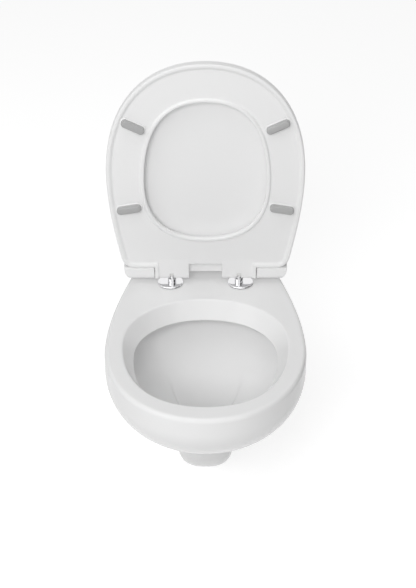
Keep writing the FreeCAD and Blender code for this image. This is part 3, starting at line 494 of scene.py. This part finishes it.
def trap_line():
    """Centreline (y, z) of the trapway in the plane x = 0.

    It goes straight down, through a half turn, up, through a quarter turn, and down a shallow S of two equal
    arcs to the outlet.
    """
    bend, dip_z, weir_z, out_z = 51.0, -156.0, -82.0, -100.0
    dip_y = THROAT_Y + bend
    turn_y = dip_y + 2.0 * bend
    straight = -20.0
    pieces = [np.array([[THROAT_Y, THROAT_Z]])]
    pieces.append(arc(bend, 180.0, 360.0, 41) + (dip_y, dip_z))
    pieces.append(arc(bend, 180.0, 90.0, 25) + (turn_y, weir_z - bend))
    ease, fall = (straight - turn_y) / 2.0, (weir_z - out_z) / 2.0
    sway = (ease ** 2 + fall ** 2) / (2.0 * fall)
    down = np.linspace(0.0, ease, 13)[1:]
    sag = sway - np.sqrt(sway ** 2 - down ** 2)
    pieces.append(np.stack([turn_y + down, weir_z - sag], axis=1))
    pieces.append(np.stack([straight - down, out_z + sag], axis=1)[-2::-1])
    pieces.append(np.array([[straight, out_z], [-12.0, out_z], [-1.0, out_z], [0.0, out_z]]))
    return np.concatenate(pieces)


def trapway():
    """The trap's tube: sections square to the centreline, out along the outer skin and back by the bore.

    The bore is round, 37.5 mm in radius and 41 mm at the outlet. The skin is 50 mm, 51 mm at the spigot, and
    a superellipse: cosine and sine raised to 2 / n, where n goes from 2 at the bowl to 2.7 in the lower bend
    and back to 2 where the bend turns up.
    """
    squarer, wider = 0.7, 2.0
    line = trap_line()
    tangent = np.gradient(line, axis=0)
    tangent[0], tangent[-4:] = (0.0, -1.0), (1.0, 0.0)
    tangent /= np.linalg.norm(tangent, axis=1, keepdims=True)
    side = np.stack([-tangent[:, 1], tangent[:, 0]], axis=1)
    turn = np.radians(np.linspace(0.0, 360.0, 97)[:-1])
    step = np.linalg.norm(np.diff(line, axis=0), axis=1)
    along = np.concatenate([[0.0], np.cumsum(step)])
    low = smooth(along, 0.0, 40.0) * (1.0 - smooth(along, 130.0, 175.0))

    def rings(radius, fuller):
        """One section for each point of the line, from its radius and how much fuller than round it is."""
        power = (2.0 / (2.0 + squarer * fuller))[:, None]
        cosine, sine = np.cos(turn)[None, :], np.sin(turn)[None, :]
        x = (radius + wider * fuller)[:, None] * np.sign(cosine) * np.abs(cosine) ** power
        reach = radius[:, None] * np.sign(sine) * np.abs(sine) ** power
        y = line[:, :1] + side[:, :1] * reach
        z = line[:, 1:] + side[:, 1:] * reach
        return np.stack([x, y, z], axis=-1)

    bore = THROAT_R + 3.5 * smooth(line[:, 0], -45.0, -38.0)
    skin = THROAT_SKIN + 1.0 * smooth(line[:, 0], -24.0, -21.0)
    rows = np.concatenate([rings(skin, low), rings(bore, 0.0 * low)[::-1]])
    add_piece("pan_trapway", *ring_surface(rows, close_rows=True), *PAN, sharp=40.0)


def lathe(name, profile, centre, along, family, steps=64, sharp=32.0):
    """A closed profile of (radius, height) pairs turned about the axis along a direction at a centre."""
    profile = np.asarray(profile, float)
    turn = np.radians(np.linspace(0.0, 360.0, steps + 1)[:-1])
    along = np.asarray(along, float)
    helper = np.array(UP) if abs(along[2]) < 0.9 else np.array([1.0, 0.0, 0.0])
    first = np.cross(along, helper)
    first /= np.linalg.norm(first)
    second = np.cross(along, first)
    spoke = np.cos(turn)[:, None] * first + np.sin(turn)[:, None] * second
    rows = np.asarray(centre, float) + profile[:, :1, None] * spoke[None] + profile[:, 1:, None] * along
    add_piece(name, *ring_surface(rows, close_rows=True), *family, sharp)


def flat_shape(outlines, thickness, bevel):
    """Points and faces of a flat plate: closed outlines filled as a curve, made thick, with round edges."""
    curve = bpy.data.curves.new("plate", "CURVE")
    curve.dimensions = "2D"
    curve.fill_mode = "BOTH"
    curve.extrude = (thickness / 2.0 - bevel) * MM
    curve.bevel_depth = bevel * MM
    curve.bevel_resolution = 2
    curve.offset = -bevel * MM
    for outline in outlines:
        spline = curve.splines.new("POLY")
        spline.points.add(len(outline) - 1)
        flat = np.column_stack([outline, np.zeros(len(outline)), np.ones(len(outline))])
        flat[:, :2] *= MM
        spline.points.foreach_set("co", flat.ravel())
        spline.use_cyclic_u = True
    holder = in_scene("plate", curve)
    made = bpy.data.meshes.new_from_object(holder)
    points = np.empty(len(made.vertices) * 3)
    made.vertices.foreach_get("co", points)
    faces = [list(p.vertices) for p in made.polygons]
    bpy.data.objects.remove(holder)
    bpy.data.curves.remove(curve)
    bpy.data.meshes.remove(made)
    return points.reshape(-1, 3) / MM, faces


def circle(x, y, radius, count=48):
    """Points of a circle, starting at its right and running anticlockwise."""
    return arc(radius, 0.0, 360.0, count + 1)[:-1] + (x, y)


def wall_flange():
    """Plate against the wall with rounded lower corners, two bolt holes and the inlet hole."""
    low, high, half, corner, thick = -38.0, 68.0, WALL_HALF - 0.6, 26.0, 22.0
    right = arc(corner, -90.0, 0.0, 13) + (half - corner, low + corner)
    left = right[::-1] * np.array([-1.0, 1.0])
    outline = np.concatenate([right, [[half, high], [-half, high]], left])
    holes = [circle(-BOLT_X, 0.0, BOLT_R), circle(BOLT_X, 0.0, BOLT_R), circle(0.0, INLET_Z, INLET_R)]
    flat, faces = flat_shape([outline] + holes, thick, BEVEL)
    points = np.stack([flat[:, 0], flat[:, 2] - thick / 2.0, flat[:, 1]], axis=1)
    add_piece("pan_wall_flange", points, faces, *PAN)


def cheek(side, name):
    """Upright web beside the inlet, cut back at the foot to leave room for the waste connector."""
    middle, thick = 39.0, 10.0
    outline = np.array([[-140.0, -96.0], [-58.0, -96.0], [-55.0, -93.0], [-55.0, -41.0], [-52.0, -38.0],
                        [-2.0, -38.0], [-2.0, 67.0], [-125.0, 67.0], [-128.0, 20.0], [-146.0, -40.0]])
    flat, faces = flat_shape([outline], thick, BEVEL)
    points = np.stack([side * middle + flat[:, 2], flat[:, 0], flat[:, 1]], axis=1)
    add_piece(f"pan_cheek_{name}", points, faces, *PAN)


def gusset(side, name):
    """Curved skin that carries the flank down to the flange: rectangles along y whose foot is a cubic."""
    sunk, top_z = 0.15, 50.0
    t = np.linspace(0.0, 1.0, 25)
    foot = bezier([(-133.0, 44.0), (-75.0, 44.0), (-24.0, 4.0), (-11.0, -34.0)], t)
    outline = shield(RIM_HALF, RIM_TIP, WIDEST_Y, RIM_FULL, WALL_HALF, 0.0, WALL_TAPER)
    flank = outline[len(FRONT_T) - 1:len(FRONT_T) + FLANK_POINTS]
    outer = np.interp(foot[:, 0], flank[:, 1], flank[:, 0])
    top = np.full(len(t), top_z)
    rows = [np.stack([x, foot[:, 0], z], axis=1) for x, z in
            ((outer - sunk, top), (outer - sunk, foot[:, 1]), (outer - WALL_THICK, foot[:, 1]),
             (outer - WALL_THICK, top))]
    rows = np.transpose(np.array(rows), (1, 0, 2))
    rows[:, :, 0] *= side
    add_piece(f"pan_gusset_{name}", *ring_surface(rows), *PAN)


def pan_back():
    """What carries the pan on the wall: flange, cheeks, gussets, and the boss round the flush inlet."""
    wall_flange()
    for side, name in SIDES:
        cheek(side, name)
        gusset(side, name)
    boss = [(INLET_R, -1.0), (37.0, -1.0), (37.0, -112.0), (17.0, -112.0), (17.0, -46.0), (INLET_R, -45.0)]
    lathe("pan_inlet_boss", boss, (0.0, 0.0, INLET_Z), (0.0, 1.0, 0.0), PAN)


# ---------- seat and lid, worked out closed


def stand_up(points):
    """Takes points of the closed seat or lid, about the hinge axis, to their raised place in the frame.

    A quarter turn about x: height above the axis becomes depth behind it, and distance in front of the axis
    becomes height.
    """
    points = np.asarray(points, float)
    return np.stack([points[..., 0], -WALL_TO_AXIS + points[..., 2], AXIS_Z - points[..., 1]], axis=-1)


def add_raised(name, rows, family, sharp, close_rows=False):
    """Adds a piece of the seat or lid from rings that were worked out closed."""
    points, faces = ring_surface(rows, close_rows)
    add_piece(name, stand_up(points), faces, *family, sharp)


def seat_plan():
    """Plan of the closed seat ring, with points where its rear edge meets knuckles and hinge blocks."""
    stops = (KNUCKLE_OUT, 91.0, BLOCK_HALF + 0.7, BLOCK_HALF - 0.7, 70.0, 50.0, KNUCKLE_IN + 7.0,
             KNUCKLE_IN + 5.0, KNUCKLE_IN + 3.0, KNUCKLE_IN + 1.0, 15.0, 0.0)
    return shield(SEAT_HALF, -SEAT_REACH, -SEAT_WIDEST, SEAT_FULL, SEAT_REAR_HALF, -SEAT_REAR, SEAT_TAPER,
                  corner=SEAT_CORNER, stops=stops)


def seat_ring():
    """Seat ring as one closed surface: one profile carried round the outline and one round the hole.

    Each profile is a rounded line of (distance from its edge, height). Underneath, a soft bead follows the
    outer edge and a narrow one the hole, with a flat recess between. Behind, the outer bead ends where the
    hinge blocks are, and between the knuckles the edge stands back from the lid's bar.
    """
    flat_from, rear_from, rear_full = 18.0, -60.0, -30.0
    plan = seat_plan()
    normal = outward(plan)
    between = 1.0 - smooth(np.abs(plan[:, 0]), KNUCKLE_IN + 1.0, KNUCKLE_IN + 7.0)
    between = between * (plan[:, 1] > rear_from)
    stand_back = np.stack([0.0 * between, (SEAT_REAR - LID_CUT) * between], axis=1)
    hole = oval(HOLE_HALF, -HOLE_FRONT, -HOLE_REAR, -HOLE_WIDEST, HOLE_FULL)
    out = outward(hole)
    at_blocks = 1.0 - smooth(np.abs(plan[:, 0]), BLOCK_HALF - 0.5, BLOCK_HALF + 0.5)
    kept = 1.0 - smooth(plan[:, 1], rear_from, rear_full) * at_blocks
    low, bead = -BLOCK_UNDER, -BLOCK_UNDER - BEAD
    inner_edge = rounded([(flat_from, low, 0.0), (7.8, low, 2.0), (4.8, bead, 2.0), (0.0, bead, 2.4),
                          (0.0, SEAT_TOP, 14.0), (24.0, SEAT_TOP, 0.0)], steps=9)
    outer_edge = rounded([(flat_from, SEAT_TOP, 0.0), (0.0, SEAT_TOP, 6.0), (0.0, bead, 3.4),
                          (6.4, bead, 6.0), (10.6, low, 6.0), (flat_from, low, 0.0)], steps=9)

    def outer_ring(inset, z):
        """Outline at an inset and a height, without bead at the blocks and stood back at the bar."""
        edge = plan - normal * inset + stand_back * (1.0 - inset / flat_from)
        return level(edge, np.where(z < low, low - (low - z) * kept, z))

    def across(first, last):
        """Three rings evenly spaced between two."""
        return [first * (1.0 - share) + last * share for share in (0.25, 0.5, 0.75)]

    rows = [outer_ring(inset, z) for inset, z in outer_edge]
    inside = [level(hole + out * outset, z) for outset, z in inner_edge]
    rows += across(rows[-1], inside[0]) + inside
    rows += across(inside[-1], rows[0])
    add_raised("seat_body", rows, SEAT, 42.0, close_rows=True)


def extrude_x(profile, x_values):
    """Rings of one (y, z) profile at several x places."""
    return np.array([np.column_stack([np.full(len(profile), x), profile]) for x in x_values])


def knuckle(side, name):
    """Hinge knuckle: a round barrel on the axis, with a flat block that runs on into the seat ring.

    Its profile (y, z) is repeated across. Over the post's slot the profile keeps only what lies forward of
    and above the post's room. At the outer end a strip as high as the bead runs on down the block. The block
    stands a hair proud of the ring, so that one skin shows.
    """
    proud, barrel_start, strip_front = 0.05, -7.0, -SEAT_REAR - 4.0
    radius, under, top = KNUCKLE_R + proud, BLOCK_UNDER + proud, SEAT_TOP + proud
    front = [(-BLOCK_REACH, 0.5 - under), (2.0 - BLOCK_REACH, -under)]
    rear = [(barrel_start, top), (-BLOCK_REACH, top)]
    full = np.concatenate([front, arc(radius, -90.0, 130.0, 23), rear])
    open_below = np.concatenate([front, [(-SLOT_HALF, -under)], arc(SLOT_HALF, 180.0, 92.0, 9),
                                 arc(radius, 92.0, 130.0, 9), rear])
    strip = rounded([(strip_front, 0.0, 0.0), (strip_front, -under - BEAD, 0.4),
                     (radius, -under - BEAD, 9.0), (radius, 3.0, 2.0), (barrel_start, top - 0.2, 0.0)],
                    steps=13)
    near, far = POST_X - SLOT_HALF, POST_X + SLOT_HALF
    parts = (
        ("inner", full, (KNUCKLE_IN, KNUCKLE_IN + END_STEP, near - END_STEP, near)),
        ("bridge", open_below, (near, far)),
        ("outer", full, (far, far + END_STEP, KNUCKLE_OUT - END_STEP, KNUCKLE_OUT - proud)),
        ("strip", strip, (BLOCK_HALF, BLOCK_HALF + END_STEP, KNUCKLE_OUT - END_STEP, KNUCKLE_OUT)),
    )
    for label, profile, spots in parts:
        rings = extrude_x(profile, spots)
        rings[:, :, 0] *= side
        add_raised(f"seat_knuckle_{label}_{name}", rings, SEAT, 40.0)


# row, distance from the centreline, distance in front of the axis, turn in degrees
BUFFERS = (("front", 128.0, 309.8, 26.0), ("rear", 138.5, 143.9, -9.5))


def stadium(length, width, count=64):
    """Outline of a bar with half-round ends, lying along x."""
    half = (length - width) / 2.0
    right = arc(width / 2.0, -90.0, 90.0, count // 2 + 1) + (half, 0.0)
    return np.concatenate([right, -right])


def on_seat(points, side, across, reach, turn):
    """Turns points in plan about their own centre and moves them to a buffer's place on the closed seat."""
    angle = math.radians(-side * turn)
    x = points[..., 0] * math.cos(angle) - points[..., 1] * math.sin(angle)
    y = points[..., 0] * math.sin(angle) + points[..., 1] * math.cos(angle)
    return np.stack([x + side * across, y - reach, points[..., 2]], axis=-1)


def domed_bar(length, width, z_root, z_tip, edge, sink=0.0):
    """Rings of a stadium bar from its root to a domed tip: straight sides, then a quarter-round edge.

    The tip's flat swells by a quarter of a millimetre towards its core.
    """
    base = stadium(length, width)
    normal = outward(base)
    rows = [level(base, z_root + sink), level(base, z_root), level(base, z_root - 0.5)]
    middle_z = z_tip + edge
    for along, up in arc(edge, 0.0, -90.0, 9):
        rows.append(level(base - normal * (edge - along), middle_z + up))
    flat = base - normal * edge
    core = flat * np.array([0.86, 0.25])
    rows.append(level(flat * 0.35 + core * 0.65, z_tip - 0.15))
    rows.append(level(core, z_tip - 0.25))
    return np.array(rows)


def buffers_and_pads():
    """The seat's four rubber buffers, each on a raised pad of the seat's own plastic."""
    pad_high, embedded, buffer_tip = 2.0, 0.25, -21.45
    for side, where in SIDES:
        for row, across, reach, turn in BUFFERS:
            rubber = domed_bar(44.0, 13.0, -BLOCK_UNDER - pad_high, buffer_tip, 3.4)
            add_raised(f"buffer_{row}_{where}", on_seat(rubber, side, across, reach, turn),
                       (BUFFER_RUBBER, "seat", f"seat_buffer_{row}_{where}", "buffer_rubber"), 50.0)
            pad = domed_bar(49.0, 18.0, -BLOCK_UNDER, -BLOCK_UNDER - pad_high + embedded, 1.9, sink=1.0)
            add_raised(f"pad_{row}_{where}", on_seat(pad, side, across, reach, turn), SEAT, 60.0)


def lid_plan(inset, end):
    """Plan of the closed lid: the seat's front set back all round, and flanks cut off at end."""
    plan = shield(SEAT_HALF - LID_SETBACK - inset, -SEAT_REACH + LID_SETBACK + inset, -SEAT_WIDEST,
                  SEAT_FULL, LID_END_HALF - inset, KNUCKLE_R, LID_TAPER)
    return np.column_stack([plan[:, 0], np.minimum(plan[:, 1], end)])


def lid_shell():
    """Lid as one closed surface of rings, with a hollow underneath that ends in front of the hinge.

    The rings go from the middle of the hollow out to its wall, down to the foot, up the outer wall, over the
    rounded edge and in to the middle of the top. Behind the hollow the lid is solid.
    """
    rear, hollow_rear, wall, round_in, foot, edge = -LID_CUT - 0.1, -LID_CUT - 12.0, 5.0, 2.5, 0.9, 6.0

    def inner(inset, z):
        """Ring of the hollow's wall."""
        return level(lid_plan(inset, hollow_rear - inset + wall), z)

    centre = np.array([0.0, -SEAT_WIDEST])
    ceiling, top = lid_plan(wall + round_in, hollow_rear - round_in), lid_plan(edge, rear)
    rows = [level(centre + (ceiling - centre) * share, LID_UNDER) for share in (0.01, 0.3, 0.7, 0.97)]
    for along, up in arc(round_in, 90.0, 0.0, 7):
        rows.append(inner(wall + round_in - along, LID_UNDER - round_in + up))
    for along, up in arc(foot, 180.0, 270.0, 6)[1:]:
        rows.append(inner(wall - foot - along, LID_LOW + foot + up))
    for along, up in arc(foot, -90.0, 0.0, 6):
        rows.append(level(lid_plan(foot - along, rear), LID_LOW + foot + up))
    for along, up in arc(edge, 0.0, 90.0, 12):
        rows.append(level(lid_plan(edge - along, rear), LID_TOP - edge + up))
    rows += [level(centre + (top - centre) * share, LID_TOP) for share in (0.98, 0.7, 0.3, 0.01)]
    add_raised("lid_shell", rows, LID, 42.0)


def lid_bar():
    """The lid's solid rear bar between the knuckles: one rounded profile carried straight across."""
    profile = rounded([(LID_JOIN, LID_LOW, 0.0), (LID_BAR_END, LID_LOW, 1.4), (LID_BAR_END, LID_TOP, 3.0),
                       (LID_JOIN, LID_TOP, 0.0)])
    half = KNUCKLE_IN - GAP
    rows = extrude_x(profile, (-half, END_STEP - half, half - END_STEP, half))
    add_raised("lid_rear_bar", rows, LID, 50.0)


def lid_end(side, name):
    """Outer hinge end of the lid: a barrel on the axis with a block forward of it, repeated across.

    Its outer face follows the lid's flank, a straight line that narrows towards the wall. Near that face the
    profile is cut short along a quarter circle, which rounds the corner seen from the front, and then drawn
    in about its middle, which rounds the face's edges.
    """
    profile = rounded([(LID_JOIN, LID_LOW, 0.0), (-LID_END_REACH, LID_LOW, 0.8),
                       (-LID_END_REACH, -BLOCK_UNDER, 4.2), (KNUCKLE_R, -BLOCK_UNDER, 9.0),
                       (KNUCKLE_R, LID_TOP, 4.0), (LID_JOIN, LID_TOP, 0.0)])
    start, edge, middle, half_girth = KNUCKLE_OUT + SIDE_GAP, 1.6, np.array([-9.0, 3.0]), 12.0

    def ring(gone, cut, drawn=0.0):
        """Profile at a distance inside the flank, cut short by cut and drawn in by drawn."""
        y = np.minimum(profile[:, 0], KNUCKLE_R - cut)
        flank = LID_END_HALF + LID_TAPER * (KNUCKLE_R - y)
        shape = middle + (np.stack([y, profile[:, 1]], axis=1) - middle) * (1.0 - drawn / half_girth)
        return np.column_stack([side * (flank - gone), shape])

    rows = list(extrude_x(profile, (side * start, side * (start + END_STEP))))
    for along, up in arc(LID_END_CORNER, 90.0, 0.0, 13):
        rows.append(ring(edge + LID_END_CORNER - along, LID_END_CORNER - up))
    for along, up in arc(edge, 90.0, 0.0, 6)[1:]:
        rows.append(ring(edge - along, LID_END_CORNER, edge - up))
    add_raised(f"lid_end_{name}", rows, LID, 40.0)


# ---------- hinge hardware


def round_edges(points, bevel, count=4):
    """A closed (radius, height) outline with each corner replaced by a small quadratic blend.

    A blend takes up no more than 0.45 of the side before or after its corner.
    """
    points = np.asarray(points, float)
    before, after = np.roll(points, 1, axis=0), np.roll(points, -1, axis=0)

    def towards(target):
        """Where each blend starts or ends, on the way to the neighbouring corner."""
        step = target - points
        length = np.linalg.norm(step, axis=1, keepdims=True)
        return points + step * np.minimum(bevel / length, 0.45)

    a, c = towards(before), towards(after)
    t = np.linspace(0.0, 1.0, count)[None, :, None]
    blend = (1 - t) ** 2 * a[:, None] + 2 * t * (1 - t) * points[:, None] + t * t * c[:, None]
    return blend.reshape(-1, 2)


def hinge(side, name):
    """One hinge: disc, gasket, post, stud, bush, washer and nut hub turned from profiles, and two wings.

    The stud's thread is a row of rings: crests of 4 mm radius and roots of 3.45 mm, half a pitch apart.
    """
    hole = (HOLE_X * side, -WALL_TO_AXIS, RIM_Z)
    post_foot = (POST_X * side, -WALL_TO_AXIS, RIM_Z)
    pitch, low, high, crest, root, clear = 1.25, -51.0, -12.0, 4.0, 3.45, 4.05
    disc = [(clear, 1.0), (23.2, 1.0), (24.0, 1.7), (24.0, 2.4), (23.5, 3.2), (22.4, 3.85), (21.0, 4.0),
            (12.0, 4.0), (clear, 4.0)]
    gasket = [(clear, 0.0), (22.5, 0.0), (22.5, 1.0), (clear, 1.0)]
    post = [(0.01, 4.0), (8.0, 4.0), (8.0, 10.5), (7.6, 11.6), (6.5, 12.0), (4.4, 12.0), (4.0, 12.6),
            (4.0, 25.0), (0.01, 25.0)]
    teeth = [(crest if n % 2 else root, z) for n, z in enumerate(np.arange(low + 1.0, high, pitch / 2.0))]
    stud = [(0.01, low), (3.2, low), *teeth, (crest, high + 0.5), (crest, 3.9), (0.01, 3.9)]
    bush = [(clear, -20.0), (12.0, -20.0), (12.0, -14.0), (6.95, -14.0), (6.95, -6.0), (clear, -6.0)]
    washer = [(clear, -22.0), (14.0, -22.0), (14.0, -20.0), (clear, -20.0)]
    hub = [(clear, -35.0), (8.0, -35.0), (9.0, -34.0), (9.0, -22.0), (clear, -22.0)]
    turned = (
        ("disc", round_edges(disc, 0.35), hole, CHROME, "hinge_disc", "hinge_chrome", 96, 40.0),
        ("gasket", round_edges(gasket, 0.2), hole, SEAL_RUBBER, "hinge_gasket", "seal_rubber", 64, 32.0),
        ("post", round_edges(post, 0.25), post_foot, CHROME, "hinge_post", "hinge_chrome", 64, 40.0),
        ("stud", stud, hole, STEEL, "hinge_post", "hinge_chrome", 40, 20.0),
        ("bush", round_edges(bush, 0.5), hole, SEAL_RUBBER, "hinge_bush", "seal_rubber", 48, 32.0),
        ("washer", round_edges(washer, 0.3), hole, STEEL, "hinge_washer", "steel", 56, 32.0),
        ("nut_hub", round_edges(hub, 0.4), hole, PALE_PLASTIC, "wing_nut", "nut_plastic", 48, 32.0),
    )
    for label, profile, centre, material, node, slot, steps, sharp in turned:
        family = (material, "pan", f"{node}_{name}", slot)
        lathe(f"{label}_{name}", profile, centre, UP, family, steps, sharp)
    wing = np.array([(7.6, -33.5), (12.0, -36.5), (17.0, -38.0), (19.0, -36.5), (19.0, -30.0), (17.0, -26.5),
                     (12.0, -25.6), (7.6, -25.0)])
    wing_thick = 5.0
    for turn, label in ((-1.0, "a"), (1.0, "b")):
        flat, faces = flat_shape([wing * np.array([turn, 1.0])], wing_thick, BEVEL)
        points = np.stack([hole[0] + flat[:, 0], hole[1] + flat[:, 2], hole[2] + flat[:, 1]], axis=1)
        add_piece(f"nut_wing_{label}_{name}", points, faces, PALE_PLASTIC, "pan", f"wing_nut_{name}",
                  "nut_plastic", 50.0)


def dress_inner_nodes():
    """Procedural finishes for the pieces that stay as model.glb gives them."""
    for _, name in SIDES:
        for node, material in ((f"soft_close_damper_{name}", PALE_PLASTIC), (f"lid_pivot_{name}", STEEL),
                               (f"lid_buffer_{name}", BUFFER_RUBBER)):
            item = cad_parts[node]
            item.data.materials.clear()
            item.data.materials.append(material)


# ---------- stage, light and camera


def backdrop_rays(nodes, links):
    """Mask for what shows the white background: 1 for camera, glossy and transmission rays, else 0."""
    rays = nodes.new("ShaderNodeLightPath")
    seen = rays.outputs["Is Camera Ray"]
    for kind in ("Is Glossy Ray", "Is Transmission Ray"):
        either = nodes.new("ShaderNodeMath")
        either.operation = "MAXIMUM"
        links.new(seen, either.inputs[0])
        links.new(rays.outputs[kind], either.inputs[1])
        seen = either.outputs[0]
    return seen


def stage_material(name, colour, glow):
    """Pale backdrop: plain diffuse colour, and a glow that only the rays of backdrop_rays see."""
    material = bpy.data.materials.new(name)
    material.use_nodes = True
    nodes, links = material.node_tree.nodes, material.node_tree.links
    shader = nodes["Principled BSDF"]
    shader.inputs["Base Color"].default_value = (*colour, 1.0)
    shader.inputs["Roughness"].default_value = 0.9
    shader.inputs["Specular IOR Level"].default_value = 0.0
    shader.inputs["Emission Color"].default_value = (1.0, 1.0, 1.0, 1.0)
    strength = nodes.new("ShaderNodeMath")
    strength.operation = "MULTIPLY"
    strength.inputs[1].default_value = glow
    links.new(backdrop_rays(nodes, links), strength.inputs[0])
    links.new(strength.outputs[0], shader.inputs["Emission Strength"])
    return material


def stage_card(name, corners, material):
    """One flat rectangle of the stage, which is not part of the object."""
    mesh = bpy.data.meshes.new(name)
    mesh.from_pydata(corners, [], [(0, 1, 2, 3)])
    mesh.materials.append(material)
    item = in_scene(name, mesh)
    return item


def floor():
    """Flat floor under the pan; the rim stands 400 mm above it."""
    half, z, glow = 4.0, -0.32, 0.6
    corners = [(-half, -half, z), (half, -half, z), (half, half, z), (-half, half, z)]
    stage_card("floor", corners, stage_material("pale_floor", (0.8, 0.8, 0.8), glow))


def dark_card():
    """Upright black card at the right, which only reflections see: it gives chrome a dark side."""
    x, near, far, low, high = 0.75, -1.1, 0.35, -0.1, 0.95
    material = bpy.data.materials.new("black_card")
    material.use_nodes = True
    shader = material.node_tree.nodes["Principled BSDF"]
    shader.inputs["Base Color"].default_value = (0.01, 0.01, 0.01, 1.0)
    shader.inputs["Roughness"].default_value = 1.0
    corners = [(x, near, low), (x, far, low), (x, far, high), (x, near, high)]
    item = stage_card("dark_card", corners, material)
    item.visible_camera = False
    item.visible_diffuse = False
    item.visible_shadow = False
    item.visible_transmission = False


def softbox(name, place, target, wide, high, power, mirrored=True):
    """Rectangular lamp aimed at a target; glossy surfaces mirror it unless that is turned off."""
    data = bpy.data.lights.new(name, "AREA")
    data.shape = "RECTANGLE"
    data.size, data.size_y, data.energy = wide, high, power
    item = in_scene(name, data)
    item.location = place
    item.visible_glossy = mirrored
    aim = np.asarray(target, float) - np.asarray(place, float)
    item.rotation_euler = Vector(aim).to_track_quat("-Z", "Y").to_euler()


def world_light(strength):
    """Even pale world for the light; the rays of backdrop_rays see it as plain white."""
    world = bpy.data.worlds.new("studio")
    bpy.context.scene.world = world
    world.use_nodes = True
    nodes, links = world.node_tree.nodes, world.node_tree.links
    plain = nodes["Background"]
    plain.inputs["Color"].default_value = (1.0, 1.0, 1.0, 1.0)
    plain.inputs["Strength"].default_value = strength
    white = nodes.new("ShaderNodeBackground")
    white.inputs["Color"].default_value = (1.0, 1.0, 1.0, 1.0)
    mix = nodes.new("ShaderNodeMixShader")
    links.new(backdrop_rays(nodes, links), mix.inputs["Fac"])
    links.new(plain.outputs["Background"], mix.inputs[1])
    links.new(white.outputs["Background"], mix.inputs[2])
    links.new(mix.outputs["Shader"], nodes["World Output"].inputs["Surface"])


def camera():
    """The photograph's view: a long lens 2.6 m in front of the wall, 32.4 degrees down."""
    photo_width, focal_px, shift_px, down = 416.0, 1603.9, 2.5, 0.565317
    data = bpy.data.cameras.new("camera")
    data.sensor_fit = "HORIZONTAL"
    data.sensor_width = 36.0
    data.lens = focal_px * data.sensor_width / photo_width
    data.shift_x = shift_px / photo_width
    data.clip_end = 50.0
    item = in_scene("camera", data)
    item.location = (0.0, -2.6421, 1.6729)
    item.rotation_euler = (math.pi / 2.0 - down, 0.0, 0.0)
    bpy.context.scene.camera = item


pan_body()
trapway()
pan_back()
seat_ring()
for hinge_side, hinge_name in SIDES:
    knuckle(hinge_side, hinge_name)
    hinge(hinge_side, hinge_name)
    lid_end(hinge_side, hinge_name)
buffers_and_pads()
lid_shell()
lid_bar()
dress_inner_nodes()
floor()
camera()
world_light(0.34)
dark_card()
# name, place, target, width, height, power
softbox("key", (-1.9, -1.5, 1.7), (0.0, -0.25, 0.1), 1.4, 1.4, 7.2)
softbox("top", (-0.25, -1.0, 2.9), (0.0, -0.3, 0.1), 1.6, 1.6, 11.6)
softbox("front", (-0.6, -3.1, 2.1), (0.0, -0.25, 0.1), 1.2, 1.2, 46.0, mirrored=False)
bpy.context.scene.view_settings.view_transform = "Standard"
